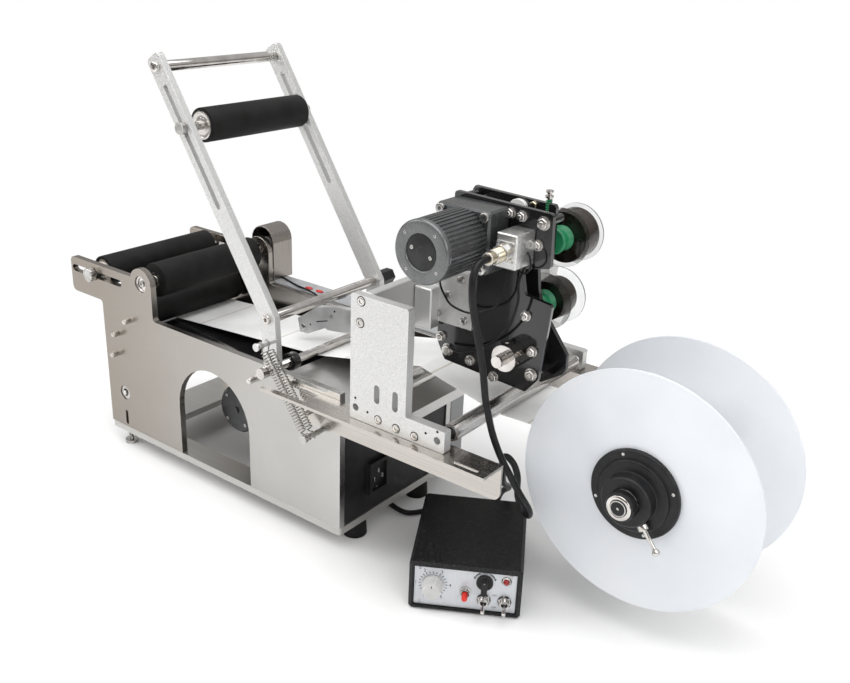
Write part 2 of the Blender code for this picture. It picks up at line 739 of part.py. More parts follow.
def side_outline(with_arch):
    """Side plate seen from the near side; only the near plate has the arch."""
    z_cross = WING_TOP - POST_Z
    wing_angle = math.pi - math.asin(z_cross / POST_RADIUS)
    points = [(0, PLATE_FOOT)]
    if with_arch:
        points += [(ARCH_X - ARCH_RADIUS, PLATE_FOOT)]
        points += arc((ARCH_X, ARCH_Z), ARCH_RADIUS, math.pi, 0, ROUND_STEPS)
        points += [(ARCH_X + ARCH_RADIUS, PLATE_FOOT)]
    points += [(FRAME_LONG, PLATE_FOOT), (FRAME_LONG, PLATE_TOP)]
    foot = (POST_X + POST_RADIUS + PLATE_FILLET, PLATE_TOP + PLATE_FILLET)
    points += arc(foot, PLATE_FILLET, -math.pi / 2, -math.pi, 4)
    points += arc((POST_X, POST_Z), POST_RADIUS, 0, wing_angle, ROUND_STEPS // 2)
    rear_top = (WING_CORNER - WING_LONG, WING_TOP - WING_CORNER)
    rear_low = (WING_CORNER - WING_LONG, WING_LOW + WING_CORNER)
    points += arc(rear_top, WING_CORNER, math.pi / 2, math.pi, 4)
    points += arc(rear_low, WING_CORNER, math.pi, 1.5 * math.pi, 4)
    points += arc((-PLATE_FILLET, WING_LOW - PLATE_FILLET), PLATE_FILLET, math.pi / 2, 0, 4)
    return points


def make_side_plates():
    """Two side plates with bores, slots, studs and the lower spring post."""
    wing_slot = long_hole((WING_SLOT_REAR + WING_SLOT_HALF, WING_SLOT_Z),
                          (WING_SLOT_FRONT - WING_SLOT_HALF, WING_SLOT_Z), WING_SLOT_HALF)
    belt_slot = long_hole((LOW_BORE_X, BELT_SLOT_LOW), (LOW_BORE_X, BELT_SLOT_HIGH),
                          BELT_SLOT_HALF)
    bores = [wing_slot, hole((POST_X, POST_Z), POST_BORE, ROUND_STEPS),
             hole((PIVOT_X, PIVOT_Z), PIVOT_PIN + GAP)]
    near_bores = bores + [belt_slot, hole((LOW_BORE_X, LOW_BORE_Z), LOW_BORE_RADIUS)]
    near = sheet("near_side_plate", "XZ", side_outline(True), 0, PLATE_THICK, ALUMINIUM,
                 near_bores)
    far = sheet("far_side_plate", "XZ", side_outline(False), FRAME_WIDE - PLATE_THICK,
                FRAME_WIDE, ALUMINIUM, bores)
    for plate, inner, outer in ((near, PLATE_THICK + OVERRUN, PLATE_THICK - PULL_PIN_DEEP),
                                (far, FRAME_WIDE - PLATE_THICK - OVERRUN,
                                 FRAME_WIDE - PLATE_THICK + PULL_PIN_DEEP)):
        low, high = min(inner, outer), max(inner, outer)
        cut(plate, pin(plate.name + "_pull_bore", "Y", (PULL_X, 0, PULL_Z), PULL_PIN + GAP,
                       low, high, ALUMINIUM))
    for i, (x, z) in enumerate(STUD_PLACES):
        join(near, pin(f"plate_stud_{i + 1}", "Y", (x, 0, z), STUD_RADIUS, -STUD_OUT, OVERRUN,
                       STEEL, SMALL_STEPS))
    neck = POST_HEAD_THICK - LOWER_POST_OUT
    post = turned("lower_spring_post", "Y", (LOWER_POST_X, 0, LOWER_POST_Z),
                  ((POST_HEAD, -LOWER_POST_OUT), (POST_HEAD, neck), (POST_PIN, neck),
                   (POST_PIN, OVERRUN)), STEEL, 0, COARSE_STEPS)
    join(near, post)


def make_sheets():
    """Table plate with its front lip, black plate under the web, front panel."""
    under = TABLE_TOP - TABLE_SHEET
    lip_back = TABLE_FRONT - TABLE_SHEET
    lip_low = TABLE_TOP - TABLE_LIP
    profile = [(TABLE_REAR, under), (lip_back, under), (lip_back, lip_low),
               (TABLE_FRONT, lip_low), (TABLE_FRONT, TABLE_TOP), (TABLE_REAR, TABLE_TOP)]
    sheet("table_plate", "XZ", profile, INNER_NEAR, INNER_FAR, STEEL)
    block("peel_plate", (PEEL_REAR, INNER_NEAR, PEEL_TOP - PEEL_THICK),
          (PEEL_FRONT, INNER_FAR, PEEL_TOP), BLACK_PAINT, PEEL_THICK / 3)
    panel_front = PANEL_BACK + PANEL_THICK
    panel = block("front_panel", (PANEL_BACK, INNER_NEAR, BASE_THICK + PANEL_LOW_GAP),
                  (panel_front, INNER_FAR, under - GAP), BLACK_PAINT)
    y, z = INLET_Y - INLET_WIDE / 2, INLET_Z - INLET_HIGH / 2
    inlet = block("power_inlet", (panel_front - PANEL_THICK / 2, y, z),
                  (panel_front + INLET_OUT, y + INLET_WIDE, z + INLET_HIGH), BLACK_PAINT)
    pocket = block("inlet_pocket", (panel_front + INLET_OUT - INLET_DEEP, y + INLET_WALL,
                                    z + INLET_WALL),
                   (panel_front + INLET_OUT + OVERRUN, y + INLET_WIDE - INLET_WALL,
                    z + INLET_HIGH - INLET_WALL), BLACK_PAINT)
    cut(join(panel, inlet), pocket)


def make_drive_side():
    """Housing outside the far plate, the cover round the pulley, and the drive motor."""
    block("drive_housing", (HOUSING_REAR, OUTER_FAR, PLATE_FOOT),
          (GUIDE_REAR_X - HOUSING_AWAY, HOUSING_FAR, HOUSING_TOP), GREY_PAINT, HOUSING_EDGE)
    foot = HOUSING_TOP + GAP
    outside = [(POST_X - COVER_HALF, foot), (POST_X + COVER_HALF, foot)]
    outside += arc((POST_X, COVER_ROUND_Z), COVER_HALF, 0, math.pi, ROUND_STEPS // 2)
    inside_half = COVER_HALF - COVER_WALL
    inside = [(POST_X - inside_half, foot - OVERRUN), (POST_X + inside_half, foot - OVERRUN)]
    inside += arc((POST_X, COVER_ROUND_Z), inside_half, 0, math.pi, ROUND_STEPS // 2)
    cover = sheet("drive_cover", "XZ", outside, OUTER_FAR, OUTER_FAR + COVER_DEEP, STEEL)
    cut(cover, sheet("cover_hollow", "XZ", inside, OUTER_FAR - OVERRUN,
                     OUTER_FAR + COVER_DEEP - COVER_WALL, STEEL))
    body_end = INNER_FAR - MOTOR_BACK_LONG
    turned("drive_motor", "Y", (MOTOR_X, 0, MOTOR_Z),
           ((MOTOR_SCREW, MOTOR_FRONT - PANEL_THICK), (MOTOR_SCREW, MOTOR_FRONT),
            (MOTOR_RADIUS - MOTOR_EDGE, MOTOR_FRONT), (MOTOR_RADIUS, MOTOR_FRONT + MOTOR_EDGE),
            (MOTOR_RADIUS, body_end), (MOTOR_NECK, body_end), (MOTOR_NECK, INNER_FAR)),
           BLACK_PAINT)


def make_bottle_rollers():
    """Fixed driven roller, sliding roller on its axle, pull roller over the web."""
    far = FRAME_WIDE - FIXED_NEAR
    pulley = FRAME_WIDE + PULLEY_AWAY
    turned("fixed_roller", "Y", (POST_X, 0, POST_Z),
           ((FIXED_BOSS, -OVERRUN), (FIXED_BOSS, FIXED_BOSS_DEEP),
            (FIXED_BOSS * 2 - OVERRUN, FIXED_BOSS_DEEP), (FIXED_BOSS * 2 - OVERRUN, 0),
            (FIXED_JOURNAL, 0), (FIXED_JOURNAL, PLATE_THICK), (FIXED_NECK, PLATE_THICK),
            (FIXED_NECK, FIXED_NEAR), (FIXED_RADIUS, FIXED_NEAR), (FIXED_RADIUS, far),
            (FIXED_NECK, far), (FIXED_NECK, FRAME_WIDE - PLATE_THICK),
            (FIXED_JOURNAL, FRAME_WIDE - PLATE_THICK), (FIXED_JOURNAL, FRAME_WIDE),
            (FIXED_NECK, FRAME_WIDE), (FIXED_NECK, pulley),
            (PULLEY_RADIUS, pulley), (PULLEY_RADIUS, pulley + PULLEY_RIM),
            (PULLEY_RADIUS - PULLEY_RIM, pulley + PULLEY_RIM),
            (PULLEY_RADIUS - PULLEY_RIM, pulley + PULLEY_WIDE - PULLEY_RIM),
            (PULLEY_RADIUS, pulley + PULLEY_WIDE - PULLEY_RIM),
            (PULLEY_RADIUS, pulley + PULLEY_WIDE)), BLACK_RUBBER)
    near, far = SLIDER_NEAR, FRAME_WIDE - SLIDER_NEAR
    turned("adjustable_roller", "Y", (SLIDER_X, 0, WING_SLOT_Z),
           ((SLIDER_SHOULDER, near + SLIDER_RECESS_DEEP),
            (SLIDER_RECESS, near + SLIDER_RECESS_DEEP), (SLIDER_RECESS, near),
            (SLIDER_RADIUS, near), (SLIDER_RADIUS, far), (SLIDER_RECESS, far),
            (SLIDER_RECESS, far - SLIDER_RECESS_DEEP),
            (SLIDER_SHOULDER, far - SLIDER_RECESS_DEEP)), BLACK_RUBBER, SLIDER_SHAFT + GAP)
    shoulder = near + SLIDER_RECESS_DEEP - GAP
    nut = SLIDER_NUT_THICK + GAP
    turned("adjustable_axle", "Y", (SLIDER_X, 0, WING_SLOT_Z),
           ((SLIDER_NUT, -nut), (SLIDER_NUT, -GAP), (SLIDER_SHAFT, -GAP),
            (SLIDER_SHAFT, INNER_NEAR), (SLIDER_SHOULDER, INNER_NEAR),
            (SLIDER_SHOULDER, shoulder), (SLIDER_SHAFT, shoulder),
            (SLIDER_SHAFT, FRAME_WIDE - shoulder), (SLIDER_SHOULDER, FRAME_WIDE - shoulder),
            (SLIDER_SHOULDER, INNER_FAR), (SLIDER_SHAFT, INNER_FAR),
            (SLIDER_SHAFT, OUTER_FAR), (SLIDER_NUT, OUTER_FAR),
            (SLIDER_NUT, FRAME_WIDE + nut)), STEEL)
    end = PLATE_THICK - PULL_PIN_DEEP + GAP
    turned("pull_roller", "Y", (PULL_X, 0, PULL_Z),
           ((PULL_PIN, end), (PULL_PIN, PULL_NEAR), (PULL_RADIUS, PULL_NEAR),
            (PULL_RADIUS, FRAME_WIDE - PULL_NEAR), (PULL_PIN, FRAME_WIDE - PULL_NEAR),
            (PULL_PIN, FRAME_WIDE - end)), BLACK_RUBBER)


def arm_outline():
    """Bent arm: a short upright foot, then the long leaning part."""
    foot = Vector((PIVOT_X, PIVOT_Z))
    kink = Vector((KINK_X, KINK_Z))
    tip = Vector((TIP_X, TIP_Z))
    lower = (kink - foot).normalized()
    upper = (tip - kink).normalized()
    low_side = Vector((lower.y, -lower.x)) * ARM_HALF
    high_side = Vector((upper.y, -upper.x)) * ARM_HALF
    mitre = (low_side + high_side).normalized()
    mitre *= ARM_HALF / mitre.dot(low_side.normalized())
    bottom = foot - lower * ARM_FOOT_OUT
    top = tip + upper * ARM_HEAD_OUT
    foot_round = ARM_HALF - OVERRUN
    corners = [(*(bottom + low_side), foot_round), (*(kink + mitre), PLATE_FILLET),
               (*(top + high_side), ARM_HEAD_CORNER), (*(top - high_side), ARM_HEAD_CORNER),
               (*(kink - mitre), PLATE_FILLET), (*(bottom - low_side), foot_round)]
    return rounded(corners, 0)


def on_arm(distance):
    """A point on the arm's centreline, measured down from the handle bar's bolt."""
    return (TIP_X + ARM_ALONG[0] * distance, TIP_Z + ARM_ALONG[1] * distance)


def make_press_arm():
    """Two bent arms on the pivot shaft, joined by a handle bar and a lower bar."""
    holes = [hole((PIVOT_X, PIVOT_Z), PIVOT_PIN + GAP),
             hole((KINK_X, KINK_Z), CROSS_BOLT + GAP), hole((TIP_X, TIP_Z), CROSS_BOLT + GAP),
             long_hole(on_arm(ARM_SLOT_START), on_arm(ARM_SLOT_END), ARM_SLOT_HALF)]
    near = sheet("near_arm", "XZ", arm_outline(), ARM_NEAR, ARM_NEAR + ARM_THICK, ALUMINIUM,
                 holes)
    far = sheet("far_arm", "XZ", arm_outline(), ARM_FAR, ARM_FAR + ARM_THICK, ALUMINIUM, holes)
    neck = POST_HEAD_THICK - UPPER_POST_OUT
    join(near, turned("upper_spring_post", "Y",
                      (PIVOT_X + UPPER_POST_AHEAD, 0, PIVOT_Z + UPPER_POST_HIGH),
                      ((POST_HEAD, -UPPER_POST_OUT), (POST_HEAD, neck), (POST_PIN, neck),
                       (POST_PIN, ARM_NEAR + OVERRUN)), STEEL, 0, COARSE_STEPS))
    pivot(near, (PIVOT_X, 0, PIVOT_Z))
    pivot(far, (PIVOT_X, 0, PIVOT_Z))
    head_near = ARM_NEAR - GAP
    head_far = ARM_FAR + ARM_THICK + GAP
    bar = [(CROSS_HEAD, head_near - CROSS_HEAD_THICK), (CROSS_HEAD, head_near),
           (CROSS_BOLT, head_near), (CROSS_BOLT, BAR_NEAR), (CROSS_BAR, BAR_NEAR),
           (CROSS_BAR, BAR_FAR)]
    turned("handle_bar", "Y", (TIP_X, 0, TIP_Z),
           bar + [(CROSS_BOLT, BAR_FAR), (CROSS_BOLT, head_far), (CROSS_HEAD, head_far),
                  (CROSS_HEAD, head_far + CROSS_HEAD_THICK)], CHROME, 0, COARSE_STEPS)
    turned("lower_bar", "Y", (KINK_X, 0, KINK_Z), bar, CHROME, 0, COARSE_STEPS)
    stem = BAR_FAR + GAP
    head = head_far + KNOB_NECK_LONG
    knob = turned("arm_knob", "Y", (KINK_X, 0, KINK_Z),
                  ((CROSS_BOLT, stem), (CROSS_BOLT, head_far), (KNOB_NECK, head_far),
                   (KNOB_NECK, head + OVERRUN)), BLACK_PAINT, 0, COARSE_STEPS)
    grip = rounded(arc((KINK_X, KINK_Z), KNOB_RADIUS, 0, 2 * math.pi, KNOB_SIDES)[:-1],
                   KNOB_EDGE)
    join(knob, sheet("knob_grip", "XZ", grip, head, head + KNOB_LONG, BLACK_PAINT))
    nut_near = ARM_NEAR - GAP
    turned("press_axle", "Y", (PRESS_X, 0, PRESS_Z),
           ((PRESS_NUT, nut_near - PRESS_NUT_THICK), (PRESS_NUT, nut_near),
            (PRESS_SHAFT, nut_near), (PRESS_SHAFT, BAR_NEAR), (PRESS_SHOULDER, BAR_NEAR),
            (PRESS_SHOULDER, PRESS_NEAR - GAP), (PRESS_SHAFT, PRESS_NEAR - GAP),
            (PRESS_SHAFT, head_far), (PRESS_NUT, head_far),
            (PRESS_NUT, head_far + PRESS_NUT_THICK)), STEEL, 0, COARSE_STEPS)
    turned("press_roller", "Y", (PRESS_X, 0, PRESS_Z),
           ((PRESS_RADIUS, PRESS_NEAR), (PRESS_RADIUS, BAR_FAR)), BLACK_RUBBER,
           PRESS_SHAFT + GAP)


def make_pivot_shaft():
    """Chrome shaft through both plates and both arms, with one black collar."""
    collar = COLLAR_NEAR + COLLAR_WIDE
    turned("pivot_shaft", "Y", (PIVOT_X, 0, PIVOT_Z),
           ((PIVOT_NUT, -GAP - PIVOT_NUT_THICK), (PIVOT_NUT, -GAP), (PIVOT_PIN, -GAP),
            (PIVOT_PIN, BAR_NEAR), (PIVOT_BAR, BAR_NEAR), (PIVOT_BAR, COLLAR_NEAR),
            (COLLAR_RADIUS, COLLAR_NEAR), (COLLAR_RADIUS, collar), (PIVOT_BAR, collar),
            (PIVOT_BAR, BAR_FAR), (PIVOT_PIN, BAR_FAR), (PIVOT_PIN, FRAME_WIDE)),
           CHROME, 0, COARSE_STEPS)


def spring_points(start, end):
    """Wire of a tension spring: a hook round each post and an even coil between."""
    start, end = Vector(start), Vector(end)
    along = (end - start).normalized()
    side = Vector((0, 1, 0))
    across = along.cross(side).normalized()
    side = across.cross(along)
    hook = POST_PIN + GAP + SPRING_WIRE
    neck = hook + SPRING_COIL
    points = []
    for i in range(SPRING_HOOK_POINTS):
        turn = SPRING_HOOK_SWEEP * (i / (SPRING_HOOK_POINTS - 1) - 1)
        points.append(start + along * (hook * math.cos(turn)) + across * (hook * math.sin(turn)))
    coil_start = start + along * neck
    run = (end - start).length - 2 * neck
    count = SPRING_TURNS * SPRING_TURN_POINTS
    for i in range(count + 1):
        angle = 2 * math.pi * i / SPRING_TURN_POINTS
        points.append(coil_start + along * (run * i / count)
                      + (across * math.cos(angle) + side * math.sin(angle)) * SPRING_COIL)
    for i in range(SPRING_HOOK_POINTS):
        turn = math.pi + SPRING_HOOK_SWEEP * i / (SPRING_HOOK_POINTS - 1)
        points.append(end + along * (hook * math.cos(turn)) + across * (hook * math.sin(turn)))
    return points


def make_springs():
    for name, (upper_y, lower_y) in zip(("spring_outer", "spring_inner"), SPRING_LANES):
        tube(name, spring_points((PIVOT_X + UPPER_POST_AHEAD, upper_y,
                                  PIVOT_Z + UPPER_POST_HIGH),
                                 (LOWER_POST_X, lower_y, LOWER_POST_Z)), SPRING_WIRE, STEEL)


def make_rails():
    """Two angle rails: the near one notched for the springs, the far one longer."""
    under = RAIL_TOP - RAIL_THICK
    leg_far = -GAP
    flange = rounded([(RAIL_REAR, -RAIL_FLANGE), (RAIL_FRONT, -RAIL_FLANGE),
                      (RAIL_FRONT, leg_far, 0), (RAIL_REAR, leg_far, 0),
                      (RAIL_REAR, -RAIL_NOTCH_IN), (RAIL_NOTCH_FRONT, -RAIL_NOTCH_IN),
                      (RAIL_NOTCH_FRONT, -RAIL_NOTCH_OUT), (RAIL_REAR, -RAIL_NOTCH_OUT)],
                     OVERRUN)
    slot = long_hole((RAIL_SLOT_REAR, -RAIL_SLOT_OUT), (RAIL_SLOT_FRONT, -RAIL_SLOT_OUT),
                     RAIL_SLOT_HALF)
    near = sheet("near_rail", "XY", flange, under, RAIL_TOP, STEEL, [slot])
    leg = rounded([(RAIL_LEG_REAR, RAIL_LEG_LOW), (RAIL_FRONT, RAIL_LEG_LOW),
                   (RAIL_FRONT, under + OVERRUN, 0), (RAIL_LEG_REAR, under + OVERRUN, 0)],
                  RAIL_LEG_CORNER)
    join(near, sheet("near_rail_leg", "XZ", leg, leg_far - RAIL_THICK, leg_far, STEEL),
         pin("near_rail_stud", "Y", (RAIL_STUD_X, 0, RAIL_STUD_Z), RAIL_STUD_RADIUS,
             leg_far - RAIL_THICK - RAIL_STUD_OUT, leg_far - RAIL_THICK + OVERRUN, STEEL))
    far_flange = rounded([(RAIL_REAR, FAR_RAIL_NEAR, 0), (FAR_RAIL_FRONT, FAR_RAIL_NEAR, 0),
                          (FAR_RAIL_FRONT, FAR_RAIL_NEAR + RAIL_FLANGE),
                          (RAIL_REAR, FAR_RAIL_NEAR + RAIL_FLANGE)], OVERRUN)
    far = sheet("far_rail", "XY", far_flange, under, RAIL_TOP, STEEL)
    far_leg = rounded([(RAIL_REAR, RAIL_LEG_LOW), (FAR_RAIL_FRONT, RAIL_LEG_LOW),
                       (FAR_RAIL_FRONT, under + OVERRUN, 0), (RAIL_REAR, under + OVERRUN, 0)],
                      RAIL_LEG_CORNER)
    join(far, sheet("far_rail_leg", "XZ", far_leg, FAR_RAIL_NEAR, FAR_RAIL_NEAR + RAIL_THICK,
                    STEEL))


def make_brackets():
    """Stepped brackets on the rails, and the cross plate between them."""
    foot = RAIL_TOP + GAP
    outline = rounded([(BRACKET_REAR, foot), (BRACKET_FRONT, foot),
                       (BRACKET_FRONT, BRACKET_FOOT_TOP), (BRACKET_STEP, BRACKET_FOOT_TOP),
                       (BRACKET_STEP, BRACKET_TOP), (BRACKET_REAR, BRACKET_TOP)],
                      BRACKET_CORNER)
    holes = [hole((GUIDE_REAR_X, GUIDE_REAR_Z), GUIDE_PIN + GAP),
             hole((GUIDE_FRONT_X, GUIDE_FRONT_Z), GUIDE_PIN + GAP)]
    holes += [long_hole((x, low), (x, high), BRACKET_SLOT_HALF)
              for x, low, high in BRACKET_SLOTS]
    for name, near in (("near_bracket", NEAR_BRACKET), ("far_bracket", FAR_BRACKET)):
        sheet(name, "XZ", outline, near, near + BRACKET_THICK, ALUMINIUM, holes)
    block("cross_plate", (CROSS_REAR, GAP - BRACKET_OUT, CROSS_LOW),
          (CROSS_REAR + CROSS_THICK, FAR_BRACKET - GAP, BRACKET_TOP), ALUMINIUM,
          BRACKET_CORNER / 2)


def make_guide_rollers():
    """Bright rollers between the brackets, turning on black bearing ends."""
    near_stop = GAP - BRACKET_OUT
    far_stop = FAR_BRACKET - GAP
    body_far = FAR_RAIL_NEAR + RAIL_THICK
    for name, x, z, radius in (
            ("guide_roller_rear", GUIDE_REAR_X, GUIDE_REAR_Z, GUIDE_REAR_RADIUS),
            ("guide_roller_front", GUIDE_FRONT_X, GUIDE_FRONT_Z, GUIDE_FRONT_RADIUS)):
        turned(name, "Y", (x, 0, z),
               ((GUIDE_PIN, NEAR_BRACKET + GAP), (GUIDE_PIN, near_stop),
                (GUIDE_BEARING, near_stop), (GUIDE_BEARING, 0), (radius, 0),
                (radius, body_far), (GUIDE_BEARING, body_far), (GUIDE_BEARING, far_stop),
                (GUIDE_PIN, far_stop), (GUIDE_PIN, FAR_BRACKET + BRACKET_THICK - GAP)),
               STEEL)


def make_reel():
    """Reel shaft on the far rail, two frosted discs, clamping flange with its lever."""
    foot = FAR_RAIL_NEAR - GAP
    foot_near = foot - REEL_SHAFT_FOOT_LONG
    nut_far = REEL_SHAFT_NEAR + REEL_SHAFT_NUT_AWAY + REEL_SHAFT_NUT_THICK
    turned("reel_shaft", "Y", (REEL_X, 0, REEL_Z),
           ((REEL_SHAFT, REEL_SHAFT_NEAR), (REEL_SHAFT, REEL_SHAFT_NEAR + REEL_SHAFT_NUT_AWAY),
            (REEL_SHAFT_NUT, REEL_SHAFT_NEAR + REEL_SHAFT_NUT_AWAY), (REEL_SHAFT_NUT, nut_far),
            (REEL_SHAFT, nut_far), (REEL_SHAFT, foot_near), (REEL_SHAFT_FOOT, foot_near),
            (REEL_SHAFT_FOOT, foot)), STEEL)
    turned("far_disc", "Y", (REEL_X, 0, REEL_Z),
           ((REEL_SPINDLE, REEL_SPINDLE_NEAR), (REEL_SPINDLE, REEL_ROLL_NEAR),
            (REEL_ROLL, REEL_ROLL_NEAR), (REEL_ROLL, REEL_FAR), (REEL_RADIUS, REEL_FAR),
            (REEL_RADIUS, REEL_FAR + REEL_DISC)), FROSTED, REEL_SHAFT + GAP, FINE_STEPS)
    turned("near_disc", "Y", (REEL_X, 0, REEL_Z),
           ((REEL_RADIUS, REEL_NEAR), (REEL_RADIUS, REEL_NEAR + REEL_DISC)), FROSTED,
           REEL_SPINDLE + GAP, FINE_STEPS)
    back = REEL_NEAR - GAP
    face = back - HUB_FLANGE_THICK
    boss = face - HUB_BOSS_LONG
    hub = turned("reel_flange", "Y", (REEL_X, 0, REEL_Z),
                 ((HUB_BOSS, boss), (HUB_BOSS, face - HUB_RING_HIGH),
                  (HUB_RING, face - HUB_RING_HIGH), (HUB_RING, face), (HUB_FLANGE, face),
                  (HUB_FLANGE, back)), BLACK_PAINT, REEL_SPINDLE + GAP)
    centre = Vector((REEL_X, boss + HUB_BOSS_LONG / 2, REEL_Z))
    seat = HUB_BOSS + GAP
    collar = seat + CLAMP_COLLAR_LONG
    ball = CLAMP_REACH - CLAMP_BALL
    lean = (0, math.pi / 2 - CLAMP_TILT, 0)
    clamp = turned("reel_clamp", "Z", (0, 0, 0),
                   ((CLAMP_PIN, CLAMP_SEAT), (CLAMP_PIN, seat), (CLAMP_COLLAR, seat),
                    (CLAMP_COLLAR, collar), (CLAMP_PIN, collar), (CLAMP_PIN, ball),
                    (CLAMP_BALL, ball), (CLAMP_BALL, CLAMP_REACH)), STEEL, 0, COARSE_STEPS)
    clamp.rotation_euler = lean
    clamp.location = centre
    bore = pin("clamp_bore", "Z", (0, 0, 0), CLAMP_PIN + GAP, CLAMP_SEAT - GAP,
               HUB_BOSS + OVERRUN, BLACK_PAINT)
    bore.rotation_euler = lean
    bore.location = centre
    cut(hub, bore)


def web_line():
    """Centreline of the label web, wrapped over the roll, the rollers and the pivot bar."""
    slack = GAP + WEB_THICK / 2
    stops = ((REEL_X, REEL_Z, REEL_ROLL + slack, -1),
             (GUIDE_FRONT_X, GUIDE_FRONT_Z, GUIDE_FRONT_RADIUS + slack, 1),
             (GUIDE_REAR_X, GUIDE_REAR_Z, GUIDE_REAR_RADIUS + slack, -1),
             (PIVOT_X, PIVOT_Z, PIVOT_BAR + slack, 1),
             (PULL_X, PULL_Z, PULL_RADIUS + slack, 1))
    legs = []
    for (ax, az, ar, a_side), (bx, bz, br, b_side) in zip(stops, stops[1:]):
        reach = math.hypot(bx - ax, bz - az)
        course = math.atan2(bz - az, bx - ax) - math.asin((a_side * ar - b_side * br) / reach)
        legs.append(course + math.pi / 2)
    points = [(stops[0][0] + stops[0][2] * stops[0][3] * math.cos(legs[0]),
               stops[0][1] + stops[0][2] * stops[0][3] * math.sin(legs[0]))]
    for (x, z, radius, side), enter, leave in zip(stops[1:], legs, legs[1:] + [legs[-1] - WEB_TAIL]):
        first = enter if side > 0 else enter + math.pi
        turn = (leave - enter + math.pi) % (2 * math.pi) - math.pi
        steps = max(2, math.ceil(abs(turn) / WEB_STEP))
        points += arc((x, z), radius, first, first + turn, steps)
    return points


def make_web():
    """The label web as one thin closed band."""
    line = [Vector(point) for point in web_line()]
    upper, lower = [], []
    for i, here in enumerate(line):
        before = line[max(i - 1, 0)]
        after = line[min(i + 1, len(line) - 1)]
        along = (after - before).normalized()
        across = Vector((-along.y, along.x)) * (WEB_THICK / 2)
        upper.append(tuple(here + across))
        lower.append(tuple(here - across))
    sheet("label_web", "XZ", upper + lower[::-1], WEB_NEAR, WEB_NEAR + WEB_WIDE, PAPER)


def cheek_point(share):
    return (CHEEK_REAR + CHEEK_LONG * share[0], CHEEK_LOW + CHEEK_HIGH * share[1])


def make_coder_frame():
    """Two black cheeks held apart by pillars, and what fixes them to the cross plate."""
    feed = hole((FEED_X, FEED_Z), FEED_SHAFT + GAP)
    shaft = hole((CAM_X, CAM_Z), CAM_SHAFT + GAP)
    spools = [hole(place[:2], SPOOL_PIN + GAP) for place in SPOOL_PLACES]
    near = sheet("coder_near_cheek", "XZ",
                 rounded([cheek_point(share) for share in CHEEK_SHARES], CHEEK_CORNER),
                 CHEEK_NEAR, CHEEK_NEAR + CHEEK_THICK, BLACK_PAINT, [feed, shaft])
    far = sheet("coder_far_cheek", "XZ",
                rounded([cheek_point(share) for share in FAR_CHEEK_SHARES], CHEEK_CORNER),
                CHEEK_FAR, CHEEK_FAR + CHEEK_THICK, BLACK_PAINT, [feed, shaft] + spools)
    for i, share in enumerate(PILLAR_SHARES):
        x, z = cheek_point(share)
        join(near, pin(f"pillar_{i + 1}", "Y", (x, 0, z), CHEEK_PILLAR,
                       CHEEK_NEAR + CHEEK_THICK - OVERRUN, CHEEK_FAR - GAP, STEEL))
        if i < BOLTED_PILLARS:
            join(near, pin(f"cheek_bolt_{i + 1}", "Y", (x, 0, z), CHEEK_BOLT,
                           CHEEK_NEAR - CHEEK_BOLT_OUT, CHEEK_NEAR + OVERRUN, STEEL, KNOB_SIDES))
    bar_near = CHEEK_FAR + CHEEK_THICK - OVERRUN
    for i, left in enumerate((CAM_X - STAMP_HALF - GAP - GUIDE_BAR_WIDE,
                              CAM_X + STAMP_HALF + GAP)):
        join(far, block(f"guide_bar_{i + 1}", (left, bar_near, GUIDE_BAR_LOW),
                        (left + GUIDE_BAR_WIDE, bar_near + GUIDE_BAR_DEEP, GUIDE_BAR_HIGH),
                        STEEL))
    column_rear = CROSS_REAR + CROSS_THICK + GAP
    plate_far = CHEEK_NEAR - GAP
    plate_near = plate_far - MOUNT_PLATE_THICK
    mount = block("coder_mount", (column_rear, COLUMN_NEAR, COLUMN_LOW),
                  (column_rear + COLUMN_LONG, plate_near + OVERRUN, COLUMN_HIGH), ALUMINIUM,
                  COLUMN_EDGE)
    join(mount, block("mount_plate", (MOUNT_PLATE_REAR, plate_near, MOUNT_PLATE_LOW),
                      (MOUNT_PLATE_FRONT, plate_far, MOUNT_PLATE_HIGH), STEEL))


